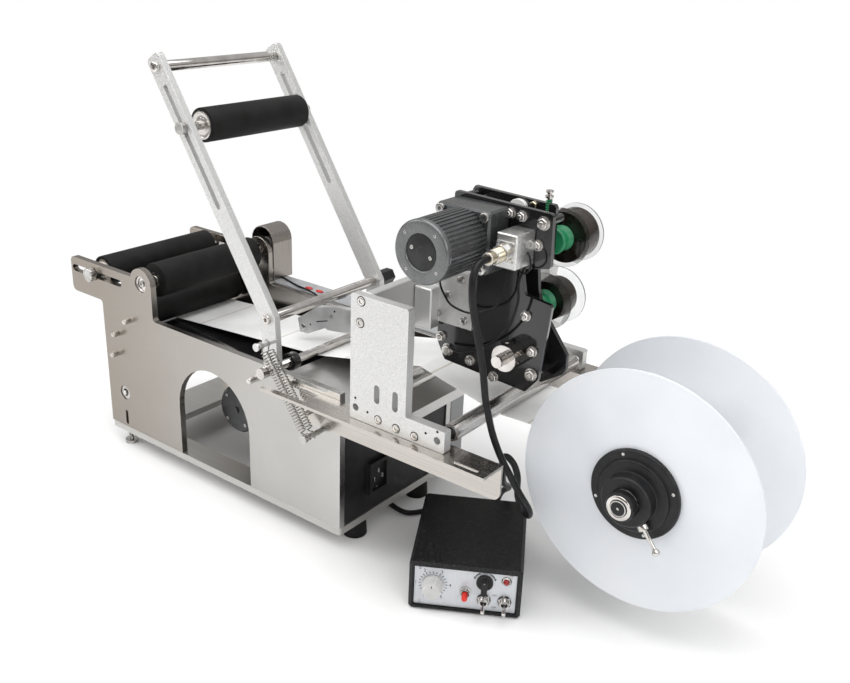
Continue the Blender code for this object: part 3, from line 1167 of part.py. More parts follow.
def make_coder_drive():
    """Ribbed motor, gearbox, and the block that the thick cord enters."""
    gear_near = GEARBOX_NEAR
    back = gear_near - GAP
    front = back - CODER_MOTOR_LONG
    valley = CODER_MOTOR_RADIUS - CODER_FIN_DEEP
    core = CODER_MOTOR_RADIUS / 2
    motor = turned("coder_motor", "Y", (CAM_X, 0, CAM_Z),
                   ((CODER_MOTOR_FACE, front + CODER_MOTOR_FACE_DEEP),
                    (CODER_MOTOR_FACE, front), (CODER_MOTOR_RADIUS - CODER_MOTOR_EDGE, front),
                    (CODER_MOTOR_RADIUS, front + CODER_MOTOR_EDGE),
                    (CODER_MOTOR_RADIUS, front + CODER_MOTOR_CAP),
                    (core, front + CODER_MOTOR_CAP), (core, back - OVERRUN)), MOTOR_GREY)
    fins = []
    for i in range(CODER_FINS):
        for part, radius in enumerate((CODER_MOTOR_RADIUS - GAP, CODER_MOTOR_RADIUS - GAP,
                                       valley, valley)):
            turn = 2 * math.pi / CODER_FINS * (i + part / 4)
            fins.append((CAM_X + radius * math.cos(turn), CAM_Z + radius * math.sin(turn)))
    join(motor, sheet("motor_fins", "XZ", fins, front + CODER_MOTOR_CAP - OVERRUN / 2, back,
                      MOTOR_GREY))
    gearbox = block("coder_gearbox", (CAM_X - GEARBOX_HALF, gear_near, CAM_Z - GEARBOX_HALF),
                    (CAM_X + GEARBOX_HALF, gear_near + GEARBOX_DEEP, CAM_Z + GEARBOX_HALF),
                    MOTOR_GREY, GEARBOX_EDGE)
    for i, (right, up) in enumerate(((-1, -1), (-1, 1), (1, -1), (1, 1))):
        place = (CAM_X + right * GEARBOX_SCREW_SPAN, 0, CAM_Z + up * GEARBOX_SCREW_SPAN)
        join(gearbox, pin(f"gearbox_screw_{i + 1}", "Y", place, GEARBOX_SCREW,
                          gear_near - GEARBOX_SCREW_OUT, gear_near + OVERRUN, BLACK_PAINT,
                          SMALL_STEPS))
    x = BLOCK_REAR + BLOCK_LONG / 2
    coder_block = block("coder_block", (BLOCK_REAR, BLOCK_NEAR, BLOCK_LOW),
                        (BLOCK_REAR + BLOCK_LONG, CHEEK_NEAR - GAP, BLOCK_LOW + BLOCK_HIGH),
                        ALUMINIUM, BLOCK_EDGE)
    nut = BLOCK_NEAR - GLAND_NUT_LONG
    ring = nut - GLAND_RING_LONG
    join(coder_block, turned("coder_gland", "Y", (x, 0, GLAND_Z),
                             ((GLAND_TIP, ring - GLAND_TIP_LONG), (GLAND_TIP, ring),
                              (GLAND_RING, ring), (GLAND_RING, nut), (GLAND_NUT, nut),
                              (GLAND_NUT, BLOCK_NEAR + OVERRUN)), STEEL, 0, COARSE_STEPS))


def cam_outline():
    """Heart cam for the stamp: the follower's centre rises evenly with the turn.

    The cam's face lies one follower radius inside the path of the follower's centre, so
    every point is moved in along the path's own normal.
    """
    rate = CAM_LIFT / math.pi
    clear = FOLLOWER + GAP
    half = []
    for i in range(CAM_POINTS + 1):
        turn = math.pi * i / CAM_POINTS
        reach = CAM_LOW_REACH + rate * turn
        outward = Vector((math.sin(turn), -math.cos(turn)))
        onward = Vector((math.cos(turn), math.sin(turn)))
        tangent = (outward * rate + onward * reach).normalized()
        normal = Vector((tangent.y, -tangent.x))
        face = outward * reach - normal * clear
        if face.x > OVERRUN / 4 or i == 0:
            half.append(face)
    valley = Vector((0, clear - CAM_LOW_REACH))
    nose = Vector((0, CAM_LOW_REACH + CAM_LIFT - clear - OVERRUN / 4))
    right = [point for point in half if point.x > OVERRUN / 4]
    left = [Vector((-point.x, point.y)) for point in reversed(right)]
    ring = [valley] + right + [nose] + left
    return [(CAM_X + point.x, CAM_Z + point.y) for point in ring]


def make_stamp():
    """Cam on the gearbox shaft, and the stamp head that it pushes down."""
    cam = pin("coder_cam", "Y", (CAM_X, 0, CAM_Z), CAM_SHAFT, CHEEK_NEAR,
              CAM_NEAR + OVERRUN, STEEL)
    join(cam, sheet("cam_disc", "XZ", cam_outline(), CAM_NEAR, CAM_NEAR + CAM_THICK, STEEL))
    face = CHEEK_FAR + CHEEK_THICK + GAP
    head = block("stamp_head", (CAM_X - STAMP_HALF, face, STAMP_LOW - OVERRUN),
                 (CAM_X + STAMP_HALF, face + STAMP_THICK, STAMP_TOP), STEEL, STAMP_EDGE)
    follower_z = CAM_Z - CAM_LOW_REACH
    join(head, block("stamp_stem", (CAM_X - STAMP_STEM, CAM_NEAR, STAMP_TOP - OVERRUN),
                     (CAM_X + STAMP_STEM, CAM_NEAR + CAM_THICK, follower_z), STEEL),
         pin("cam_follower", "Y", (CAM_X, 0, follower_z), FOLLOWER, CAM_NEAR,
             CAM_NEAR + CAM_THICK, STEEL))
    holder_near = CAM_NEAR
    join(head, block("type_holder",
                     (CAM_X - STAMP_HOLDER_LONG / 2, holder_near, STAMP_HOLDER_LOW),
                     (CAM_X + STAMP_HOLDER_LONG / 2, holder_near + STAMP_HOLDER_WIDE,
                      STAMP_LOW), STEEL),
         block("type_block",
               (CAM_X - STAMP_TYPE_LONG / 2, holder_near + OVERRUN * 2, STAMP_TYPE_LOW),
               (CAM_X + STAMP_TYPE_LONG / 2, holder_near + OVERRUN * 2 + STAMP_TYPE_WIDE,
                STAMP_HOLDER_LOW + OVERRUN), STEEL))


def make_ribbon():
    """Two ribbon spools on the far cheek, and the feed shaft through both cheeks."""
    for name, (x, z, ribbon) in zip(("ribbon_spool_upper", "ribbon_spool_lower"),
                                    SPOOL_PLACES):
        hub_near = CHEEK_FAR + CHEEK_THICK + GAP
        far = SPOOL_NEAR + SPOOL_WIDE
        turned(name, "Y", (x, 0, z),
               ((SPOOL_PIN, CHEEK_FAR), (SPOOL_PIN, hub_near), (SPOOL_HUB, hub_near),
                (SPOOL_HUB, SPOOL_NEAR), (SPOOL_FLANGE, SPOOL_NEAR),
                (SPOOL_FLANGE, SPOOL_NEAR + SPOOL_FLANGE_THICK),
                (ribbon, SPOOL_NEAR + SPOOL_FLANGE_THICK), (ribbon, far - SPOOL_FLANGE_THICK),
                (SPOOL_FLANGE, far - SPOOL_FLANGE_THICK), (SPOOL_FLANGE, far),
                (SPOOL_NUT, far), (SPOOL_NUT, far + SPOOL_NUT_LONG)), CLEAR)
    tyre_near = CHEEK_NEAR + CHEEK_THICK + FEED_TYRE_AWAY
    tyre_far = CHEEK_FAR - FEED_TYRE_AWAY
    turned("feed_collar", "Y", (FEED_X, 0, FEED_Z),
           ((FEED_SHAFT, FEED_SHAFT_NEAR), (FEED_SHAFT, FEED_COLLAR_NEAR),
            (FEED_COLLAR, FEED_COLLAR_NEAR), (FEED_COLLAR, CHEEK_NEAR - GAP),
            (FEED_SHAFT, CHEEK_NEAR - GAP), (FEED_SHAFT, tyre_near), (FEED_TYRE, tyre_near),
            (FEED_TYRE, tyre_far), (FEED_SHAFT, tyre_far),
            (FEED_SHAFT, CHEEK_FAR + CHEEK_THICK)), CHROME)


def make_sensor():
    """Label sensor: a forked plate that hangs from the cross plate."""
    def place(share):
        return (SENSOR_REAR + SENSOR_LONG * share[0], SENSOR_LOW + SENSOR_HIGH * share[1])
    outline = rounded([place(share) for share in SENSOR_SHARES], SENSOR_CORNER / 2, 2)
    sheet("label_sensor", "XZ", outline, SENSOR_NEAR, SENSOR_NEAR + SENSOR_THICK, GREY_PAINT,
          [hole(place(SENSOR_HOLE_SHARES), SENSOR_HOLE)])


def make_control_box():
    """Control box with a recessed panel, two knobs, two toggles and a push button."""
    frame = bpy.data.objects.new("box_axes", None)
    frame.location = (BOX_X, BOX_Y, BOX_Z)
    frame.rotation_euler = (0, 0, BOX_TURN)
    frame.parent = MACHINE
    bpy.data.collections["labelling_machine"].objects.link(frame)
    half = Vector((BOX_WIDE, BOX_DEEP, BOX_HIGH)) / 2
    case = block("box_case", -half, half, BLACK_PAINT, BOX_EDGE, frame)
    window = block("panel_recess",
                   (BOX_RIM_SIDE - half.x, BOX_FRONT - OVERRUN, BOX_RIM_LOW - half.z),
                   (half.x - BOX_RIM_SIDE, BOX_PANEL, half.z - BOX_RIM_TOP), BLACK_PAINT, 0,
                   frame)
    for i, (x, z) in enumerate(BOX_GLAND_PLACES):
        join(case, pin(f"box_boss_{i + 1}", "Y", (x, 0, z), BOX_BOSS, half.y - OVERRUN,
                       half.y + BOX_BOSS_LONG, BLACK_PAINT, COARSE_STEPS, frame))
    cut(case, window)
    for i, (x, z) in enumerate(TOGGLE_PLACES):
        join(case, turned(f"toggle_bush_{i + 1}", "Y", (x, 0, z),
                          ((TOGGLE_BORE, BOX_PANEL - OVERRUN),
                           (TOGGLE_BORE, BOX_PANEL - TOGGLE_BUSH_LONG),
                           (TOGGLE_BUSH, BOX_PANEL - TOGGLE_BUSH_LONG),
                           (TOGGLE_BUSH, BOX_PANEL - TOGGLE_NUT_LONG),
                           (TOGGLE_NUT, BOX_PANEL - TOGGLE_NUT_LONG),
                           (TOGGLE_NUT, BOX_PANEL + OVERRUN)), STEEL, 0, COARSE_STEPS, frame))
    join(case, turned("button_bush", "Y", (BUTTON_X, 0, BUTTON_Z),
                      ((BUTTON_CAP + GAP, BOX_PANEL - GAP),
                       (BUTTON_CAP + GAP, BOX_PANEL - BUTTON_BUSH_LONG),
                       (BUTTON_BUSH, BOX_PANEL - BUTTON_BUSH_LONG),
                       (BUTTON_BUSH, BOX_PANEL + OVERRUN)), STEEL, 0, COARSE_STEPS, frame))
    seat = BOX_PANEL + STEM_SEAT
    for label, x, z in (("speed", SPEED_X, SPEED_Z), ("selector", SELECTOR_X, SELECTOR_Z)):
        cut(case, pin(label + "_bore", "Y", (x, 0, z), KNOB_STEM + GAP, BOX_FRONT, seat,
                      BLACK_PAINT, COARSE_STEPS, frame))
    make_knobs(frame, seat)


def make_knobs(frame, seat):
    """What a hand moves on the control box."""
    front = BOX_PANEL - GAP
    turned("speed_knob", "Y", (SPEED_X, 0, SPEED_Z),
           ((SPEED_TIP - OVERRUN, front - SPEED_LONG), (SPEED_TIP, front - SPEED_LONG + OVERRUN),
            (SPEED_RADIUS, front), (KNOB_STEM, front), (KNOB_STEM, seat - GAP)),
           LIGHT_PLASTIC, 0, ROUND_STEPS, frame)
    skirt = front - SELECTOR_SKIRT
    selector = turned("selector_knob", "Y", (SELECTOR_X, 0, SELECTOR_Z),
                      ((SELECTOR_RADIUS - OVERRUN, skirt), (SELECTOR_RADIUS, skirt + OVERRUN),
                       (SELECTOR_RADIUS, front), (KNOB_STEM, front), (KNOB_STEM, seat - GAP)),
                      BLACK_PAINT, 0, ROUND_STEPS, frame)
    join(selector, block("selector_grip",
                         (SELECTOR_X - SELECTOR_HALF, front - SELECTOR_LONG,
                          SELECTOR_Z - SELECTOR_RADIUS + OVERRUN),
                         (SELECTOR_X + SELECTOR_HALF, skirt + OVERRUN,
                          SELECTOR_Z + SELECTOR_RADIUS - OVERRUN), BLACK_PAINT, OVERRUN / 2,
                         frame))
    turned("box_button", "Y", (BUTTON_X, 0, BUTTON_Z),
           ((BUTTON_CAP, BOX_PANEL - BUTTON_LONG), (BUTTON_CAP, BOX_PANEL - BUTTON_SEAT)),
           RED, 0, COARSE_STEPS, frame)
    for name, (x, z) in zip(("toggle_left", "toggle_right"), TOGGLE_PLACES):
        root = BOX_PANEL - TOGGLE_BORE_DEEP
        lever = turned(name, "Y", (x, root, z),
                       ((TOGGLE_TIP, -TOGGLE_LONG), (TOGGLE_TIP, -TOGGLE_LONG * 2 / 3),
                        (TOGGLE_LEVER, -TOGGLE_LONG / 3), (TOGGLE_LEVER, -TOGGLE_BALL / 2),
                        (TOGGLE_BALL, -TOGGLE_BALL / 2), (TOGGLE_BALL, TOGGLE_BALL / 2)),
                       CHROME, 0, COARSE_STEPS, frame)
        lever.rotation_euler.x += TOGGLE_DROP


def smooth_route(stops, step):
    """Evenly spaced points on a smooth curve through a cord's stops, straight at both ends."""
    stops = [Vector(stop) * MM for stop in stops]
    fine = []
    for i in range(len(stops) - 1):
        a, b = stops[max(i - 1, 0)], stops[i]
        c, d = stops[i + 1], stops[min(i + 2, len(stops) - 1)]
        for j in range(FINE_STEPS):
            t = j / FINE_STEPS
            fine.append(((2 * b) + (c - a) * t + (2 * a - 5 * b + 4 * c - d) * t * t
                         + (3 * b - a - 3 * c + d) * t ** 3) / 2)
    points = [stops[0], stops[1]]
    for point in fine[FINE_STEPS:-FINE_STEPS]:
        apart = (point - points[-1]).length
        if apart >= step and (point - stops[-2]).length >= step / 2:
            points.append(point)
    return points + [stops[-2], stops[-1]]


def box_gland_mouth(index, away=0):
    """Where a cord meets a gland behind the control box, or a place straight behind it."""
    x, z = BOX_GLAND_PLACES[index]
    y = BOX_DEEP / 2 + BOX_BOSS_LONG + GAP + away
    mouth = Vector((BOX_X + x * math.cos(BOX_TURN) - y * math.sin(BOX_TURN),
                    BOX_Y + x * math.sin(BOX_TURN) + y * math.cos(BOX_TURN), BOX_Z + z))
    return tuple(mouth / MM)


def make_cords():
    """Thick cord from the coder to the control box, thin one from under the machine."""
    gland_end = BLOCK_NEAR - GLAND_NUT_LONG - GLAND_RING_LONG - GLAND_TIP_LONG - GAP
    x = BLOCK_REAR + BLOCK_LONG / 2
    start = (x / MM, gland_end / MM, GLAND_Z / MM)
    below = (x / MM, (gland_end - GLAND_TIP_LONG) / MM, GLAND_Z / MM)
    straight = CORD_STEP * 1.2
    route = (start, below, *CODER_ROUTE, box_gland_mouth(1, straight), box_gland_mouth(1))
    tube("coder_cord", smooth_route(route, CORD_STEP), CODER_CORD, BLACK_RUBBER)
    start = ((POWER_GLAND_X + GAP) / MM, POWER_GLAND_Y / MM, -POWER_GLAND_MOUTH / MM)
    route = (start, *POWER_ROUTE, box_gland_mouth(0, straight), box_gland_mouth(0))
    tube("power_cord", smooth_route(route, CORD_STEP * .8), POWER_CORD, BLACK_RUBBER)


make_base()
make_side_plates()
make_sheets()
make_drive_side()
make_bottle_rollers()
make_press_arm()
make_pivot_shaft()
make_springs()
make_rails()
make_brackets()
make_guide_rollers()
make_reel()
make_web()
make_coder_frame()
make_coder_drive()
make_stamp()
make_ribbon()
make_sensor()
make_control_box()
make_cords()
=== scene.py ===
import math

import bmesh
import bpy
from mathutils import Matrix, Vector


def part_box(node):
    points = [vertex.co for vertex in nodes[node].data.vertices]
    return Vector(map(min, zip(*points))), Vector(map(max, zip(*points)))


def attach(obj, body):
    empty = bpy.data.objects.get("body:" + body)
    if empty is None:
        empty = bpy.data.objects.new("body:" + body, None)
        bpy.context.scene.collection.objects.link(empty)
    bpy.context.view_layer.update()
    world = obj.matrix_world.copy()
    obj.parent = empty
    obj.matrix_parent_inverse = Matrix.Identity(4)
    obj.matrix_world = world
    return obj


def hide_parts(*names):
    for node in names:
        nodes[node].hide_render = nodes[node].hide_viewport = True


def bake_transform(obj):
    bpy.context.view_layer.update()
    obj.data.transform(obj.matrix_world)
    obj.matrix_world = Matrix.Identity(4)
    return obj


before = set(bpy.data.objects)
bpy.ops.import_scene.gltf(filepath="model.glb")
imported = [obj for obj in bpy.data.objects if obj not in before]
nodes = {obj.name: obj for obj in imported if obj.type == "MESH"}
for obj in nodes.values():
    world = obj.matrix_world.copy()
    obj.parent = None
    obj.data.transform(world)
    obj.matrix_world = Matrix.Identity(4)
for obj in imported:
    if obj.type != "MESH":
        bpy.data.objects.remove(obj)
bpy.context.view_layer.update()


# The camera stands in front and to the right, a little above the reel, as the photographer did.
# Places below are in machine millimetres, measured from the rear foot of the near side plate.
def at(x, y, z):
    return Vector(((x - 381.5) / 1000, (y - 114.65) / 1000, (z + 22) / 1000))


azimuth, height, lean = math.radians(36.69), math.radians(22.36), math.radians(2.35)
back = Vector((math.sin(azimuth) * math.cos(height), -math.cos(azimuth) * math.cos(height),
               math.sin(height)))
right = Vector((math.cos(azimuth), math.sin(azimuth), 0))
upward = back.cross(right)
cam_right = right * math.cos(lean) + upward * math.sin(lean)
cam_up = upward * math.cos(lean) - right * math.sin(lean)
camera = bpy.data.objects.new("camera", bpy.data.cameras.new("camera"))
camera.data.lens = 41.95
camera.data.sensor_width = 36
camera.data.clip_end = 20
camera.matrix_world = Matrix((cam_right, cam_up, back)).transposed().to_4x4()
camera.location = (0.63749, -0.80287, 0.63619)
bpy.context.collection.objects.link(camera)
bpy.context.scene.camera = camera
bpy.context.scene.render.resolution_x = 850
bpy.context.scene.render.resolution_y = 683
bpy.context.scene.view_settings.view_transform = "Standard"


# The thick cord of the coder hangs from its gland, coils once over the box and enters the box's back.
# It is a black PVC sheathed cable, 6.8 mm thick, with the faint gloss and drag marks of soft plastic.
def finish(name, dark, light, metal=0.0, rough=(0.3, 0.5), grain=(60, 60, 60), fine=900, bump=0.05,
           edge_glint=0.0, coat=0.0, through=0.0, spread=(0.35, 0.65), index=1.45, sheen=0.5):
    """A procedural finish: long grain colours it, fine grain roughens it, and rounded edges may get a
    painted highlight, coloured lighter.
    """
    made = bpy.data.materials.new(name)
    made.use_nodes = True
    tree = made.node_tree
    shader = tree.nodes["Principled BSDF"]
    place = tree.nodes.new("ShaderNodeTexCoord")
    stretch = tree.nodes.new("ShaderNodeMapping")
    stretch.inputs["Scale"].default_value = grain
    tree.links.new(place.outputs["Object"], stretch.inputs["Vector"])
    cloud = tree.nodes.new("ShaderNodeTexNoise")
    cloud.inputs["Scale"].default_value = 1
    cloud.inputs["Detail"].default_value = 5
    tree.links.new(stretch.outputs["Vector"], cloud.inputs["Vector"])
    tint = tree.nodes.new("ShaderNodeValToRGB")
    tint.color_ramp.elements[0].position, tint.color_ramp.elements[1].position = spread
    tint.color_ramp.elements[0].color = (*dark, 1)
    tint.color_ramp.elements[1].color = (*light, 1)
    tree.links.new(cloud.outputs["Fac"], tint.inputs["Fac"])
    dust = tree.nodes.new("ShaderNodeTexNoise")
    dust.inputs["Scale"].default_value = fine
    dust.inputs["Detail"].default_value = 2
    tree.links.new(place.outputs["Object"], dust.inputs["Vector"])
    polish = tree.nodes.new("ShaderNodeMapRange")
    polish.inputs["From Min"].default_value = 0.3
    polish.inputs["From Max"].default_value = 0.7
    polish.inputs["To Min"].default_value, polish.inputs["To Max"].default_value = rough
    mixed = tree.nodes.new("ShaderNodeMath")
    mixed.operation = "MULTIPLY_ADD"
    mixed.inputs[1].default_value = 0.5
    tree.links.new(cloud.outputs["Fac"], mixed.inputs[0])
    half = tree.nodes.new("ShaderNodeMath")
    half.operation = "MULTIPLY"
    half.inputs[1].default_value = 0.5
    tree.links.new(dust.outputs["Fac"], half.inputs[0])
    tree.links.new(half.outputs[0], mixed.inputs[2])
    tree.links.new(mixed.outputs[0], polish.inputs["Value"])
    tree.links.new(polish.outputs["Result"], shader.inputs["Roughness"])
    colour = tint.outputs["Color"]
    # Painted highlight: where the bevelled normal turns away from the face normal, the colour is lifted
    # to a lighter tone, a glint along rounded edges.
    if edge_glint:
        rounded = tree.nodes.new("ShaderNodeBevel")
        rounded.samples = 4
        rounded.inputs["Radius"].default_value = 0.0007
        flat = tree.nodes.new("ShaderNodeNewGeometry")
        facing = tree.nodes.new("ShaderNodeVectorMath")
        facing.operation = "DOT_PRODUCT"
        tree.links.new(rounded.outputs["Normal"], facing.inputs[0])
        tree.links.new(flat.outputs["Normal"], facing.inputs[1])
        edge = tree.nodes.new("ShaderNodeMapRange")
        edge.inputs["From Min"].default_value = 0.995
        edge.inputs["From Max"].default_value = 0.9
        edge.inputs["To Max"].default_value = edge_glint
        tree.links.new(facing.outputs["Value"], edge.inputs["Value"])
        edge_glint_mix = tree.nodes.new("ShaderNodeMix")
        edge_glint_mix.data_type = "RGBA"
        tree.links.new(edge.outputs["Result"], edge_glint_mix.inputs["Factor"])
        tree.links.new(colour, edge_glint_mix.inputs["A"])
        edge_glint_mix.inputs["B"].default_value = (*(min(1, c * 1.5 + 0.12) for c in light), 1)
        colour = edge_glint_mix.outputs["Result"]
    tree.links.new(colour, shader.inputs["Base Color"])
    if bump:
        relief = tree.nodes.new("ShaderNodeBump")
        relief.inputs["Strength"].default_value = bump
        relief.inputs["Distance"].default_value = 0.0004
        tree.links.new(mixed.outputs[0], relief.inputs["Height"])
        tree.links.new(relief.outputs["Normal"], shader.inputs["Normal"])
    shader.inputs["Metallic"].default_value = metal
    shader.inputs["IOR"].default_value = index
    shader.inputs["Specular IOR Level"].default_value = sheen
    shader.inputs["Coat Weight"].default_value = coat
    shader.inputs["Coat Roughness"].default_value = 0.08
    shader.inputs["Transmission Weight"].default_value = through
    return made


def follow(piece, made, body, slot, *hidden):
    """Gives a piece its finish, the body that it rides on and the CAD nodes it stands for."""
    piece.data.materials.clear()
    piece.data.materials.append(made)
    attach(piece, body)
    if hidden:
        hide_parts(*hidden)
    return piece


def smooth_route(stops, step, fine=48):
    """Even points along a smooth curve through the stops; both ends stay where they are."""
    ends = [stops[0], *stops, stops[-1]]
    line = []
    for a, b, c, d in zip(ends, ends[1:], ends[2:], ends[3:]):
        a, b, c, d = Vector(a), Vector(b), Vector(c), Vector(d)
        for i in range(fine):
            t = i / fine
            line.append(((b * 2) + (c - a) * t + (a * 2 - b * 5 + c * 4 - d) * t * t
                         + (b * 3 - a - c * 3 + d) * t * t * t) / 2)
    kept = [Vector(stops[0])]
    for point in line[1:]:
        if (point - kept[-1]).length >= step and (point - Vector(stops[-1])).length >= step / 2:
            kept.append(point)
    return kept + [Vector(stops[-1])]


def strand(name, points, radius):
    """A round curve through the given machine places, as one open spline."""
    drawn = bpy.data.curves.new(name, "CURVE")
    drawn.dimensions = "3D"
    spline = drawn.splines.new("POLY")
    spline.points.add(len(points) - 1)
    for knot, place in zip(spline.points, points):
        knot.co = (*at(*place), 1)
    drawn.bevel_depth = radius / 1000
    drawn.bevel_resolution = 6
    drawn.use_fill_caps = True
    piece = bpy.data.objects.new(name, drawn)
    bpy.context.collection.objects.link(piece)
    return piece


box_x, box_y, box_turn = 531.6, 62, math.radians(30.5)


def box_mouth(side, away):
    """A place in front of one gland in the control box's back."""
    deep = 137 / 2 + 10.3 + away
    return (box_x + side * math.cos(box_turn) - deep * math.sin(box_turn),
            box_y + side * math.sin(box_turn) + deep * math.cos(box_turn), -8)


cord_black = finish("cord_black", (0.003, 0.003, 0.0035), (0.01, 0.01, 0.011), 0, (0.26, 0.5),
                    (90, 90, 90), 1500, 0.12, sheen=0.3)
coder_stops = [(563, 9.7, 352), (563, 3.5, 352), (563, -4, 349.6), (563.3, -9.6, 343.6),
               (563.8, -12, 335), (564.3, -11.5, 321), (565, -6.5, 300), (567, 0, 275),
               (571, 4, 245), (572, 8, 222), (574, 12, 203), (577, 18, 180), (584, 23, 158),
               (594, 27.5, 138), (603, 33, 119), (608, 41, 103), (606.5, 49, 91), (600, 56, 83.5),
               (591, 61, 84), (584, 63.5, 92), (581, 64.5, 104), (580, 65, 116), (575, 66, 126),
               (565.5, 69.5, 130), (556, 75.5, 125), (548, 86, 111), (539, 104, 87), (527, 127, 61),
               (522.8, 145.9, 45), (511.9, 154.6, 33.5), (503.6, 160.8, 22.5), (498.5, 163.5, 9.5),
               (500.2, 158.7, -2.5), box_mouth(22, 9), box_mouth(22, 0)]
coder_line = smooth_route(coder_stops, 3)
coder_piece = follow(strand("coder_cord_sheath", coder_line, 3.4), cord_black, "frame", "rubber",
                     "coder_cord")

# The mains cord leaves a gland under the base, turns in the shadow there and ends in the box's back.
# It is a thinner black cable of 6 mm and lies just above the bench.
power_stops = [(372.3, 106, -13), (383.5, 106, -13.4), (395, 106, -16), (407, 109.3, -18.4),
               (415.8, 118, -18.8), (423.6, 131.5, -18.8), (432.4, 140.3, -18.8),
               (444.4, 143.5, -17.5), (456.4, 140.3, -14), (465.1, 131.7, -10), box_mouth(-22, 0)]
power_line = smooth_route(power_stops, 3)
power_piece = follow(strand("power_cord_sheath", power_line, 3), cord_black, "frame", "rubber",
                     "power_cord")


# The base is a milled alloy plate with a big window; its screw feet stand at the rear, rubber at the
# front. Long tool lines run along it, and the machined edges are broken, with a painted highlight along
# them.
def break_edges(piece, ease):
    """Rounds the edges that turn by more than 40 degrees, ease millimetres wide."""
    broken = piece.modifiers.new("broken", "BEVEL")
    broken.width = ease / 1000
    broken.segments = 2
    broken.limit_method = "ANGLE"
    broken.angle_limit = math.radians(40)


def dress(node, made, ease):
    """A carried-over CAD piece with its finish, its sharp edges broken by ease millimetres."""
    piece = nodes[node]
    piece.data.materials.clear()
    piece.data.materials.append(made)
    for face in piece.data.polygons:
        face.material_index = 0
    if ease:
        joined = piece.modifiers.new("joined", "WELD")
        joined.merge_threshold = 0.00001
        break_edges(piece, ease)


milled = finish("milled_alloy", (0.46, 0.45, 0.43), (0.58, 0.57, 0.55), 0.9, (0.3, 0.46),
                (10, 2400, 2400), 1400, 0.05, 0.7)
dress("base_plate", milled, 0.5)


def set_down(name, bm, creased=True):
    """Puts the worked faces in the scene as a piece, smooth but for its edges over 32 degrees."""
    bmesh.ops.recalc_face_normals(bm, faces=bm.faces)
    mesh = bpy.data.meshes.new(name)
    bm.to_mesh(mesh)
    bm.free()
    mesh.shade_smooth()
    if creased:
        mesh.set_sharp_from_angle(angle=math.radians(32))
    piece = bpy.data.objects.new(name, mesh)
    bpy.context.collection.objects.link(piece)
    return piece


def turned(name, centre, axis, profile, made, body, slot, hidden=(), ease=0.5, steps=72, lobes=None):
    """A piece turned about an axis. The profile gives radius and place along the axis in mm."""
    line = [Vector(profile[0])]
    for a, b, c in zip(profile, profile[1:], profile[2:]):
        a, b, c = Vector(a), Vector(b), Vector(c)
        reach = min(ease, (a - b).length * 0.45, (c - b).length * 0.45)
        enter, leave = b + (a - b).normalized() * reach, b + (c - b).normalized() * reach
        line += [enter, (enter + leave) / 4 + b / 2, leave]
    line.append(Vector(profile[-1]))
    along = Vector({"Y": (0, 1, 0), "Z": (0, 0, 1)}[axis] if isinstance(axis, str) else axis)
    along.normalize()
    side = along.orthogonal().normalized()
    if axis == "Y":
        side = Vector((0, 0, 1))
    over = along.cross(side)
    bm = bmesh.new()
    rings = []
    for radius, out in line:
        if radius < 0.001:
            rings.append([bm.verts.new(centre + along * out / 1000)])
            continue
        ring = []
        for i in range(steps):
            turn = 2 * math.pi * i / steps
            reach = radius if lobes is None else radius * lobes(turn)
            ring.append(bm.verts.new(centre + along * out / 1000 + (
                side * math.cos(turn) + over * math.sin(turn)) * reach / 1000))
        rings.append(ring)
    for one, two in zip(rings, rings[1:]):
        for i in range(steps):
            j = (i + 1) % steps
            corners = [one[i % len(one)], one[j % len(one)], two[j % len(two)], two[i % len(two)]]
            corners = [v for k, v in enumerate(corners) if v not in corners[:k]]
            if len(corners) > 2:
                bm.faces.new(corners)
    bmesh.ops.remove_doubles(bm, verts=bm.verts, dist=1e-7)
    piece = set_down(name, bm)
    return follow(piece, made, body, slot, *hidden)


steel = finish("plain_steel", (0.36, 0.35, 0.34), (0.58, 0.57, 0.55), 1, (0.18, 0.34),
               (120, 120, 120), 1800, 0.03, 0.5)
rubber = finish("black_rubber", (0.006, 0.006, 0.006), (0.014, 0.0135, 0.0135), 0, (0.5, 0.75),
                (40, 40, 40), 2600, 0.25, sheen=0.22)
for side, y in (("near", 12), ("far", 188)):
    thread = [(3, -17.6)]
    for turn in range(12):
        thread += [(3.2, -17 + turn * 1.4), (2.7, -16.3 + turn * 1.4)]
    turned(f"screw_foot_{side}", at(20, y, 0), "Z",
           [(0, -22), (8, -22), (8, -17.6), *thread, (0, -0.3)], steel, "frame", "steel",
           (f"levelling_foot_{side}",), 0.3, 40)
for side, y in (("near", 43), ("far", 157)):
    turned(f"rubber_pad_{side}", at(385, y, 0), "Z",
           [(0, -22), (14, -22), (12.8, -3), (12.5, -0.3), (0, -0.3)], rubber, "frame", "rubber",
           (f"rubber_foot_{side}",), 1.2, 56)

# Both side plates are 8 mm alloy, nickel plated and satin, with broken edges under a painted highlight.
# Towards the rear their colour is painted darker and browner, a painted reflection of a dark bench.
# The near plate has an arch, a post for the rollers and round studs in its face.
plated = finish("satin_nickel", (0.44, 0.43, 0.415), (0.52, 0.515, 0.505), 1, (0.2, 0.32),
                (7, 7, 7), 2600, 0.03, 0.9, spread=(0.3, 0.7))
tree = plated.node_tree
spot = tree.nodes.new("ShaderNodeTexCoord")
parts = tree.nodes.new("ShaderNodeSeparateXYZ")
tree.links.new(spot.outputs["Object"], parts.inputs["Vector"])
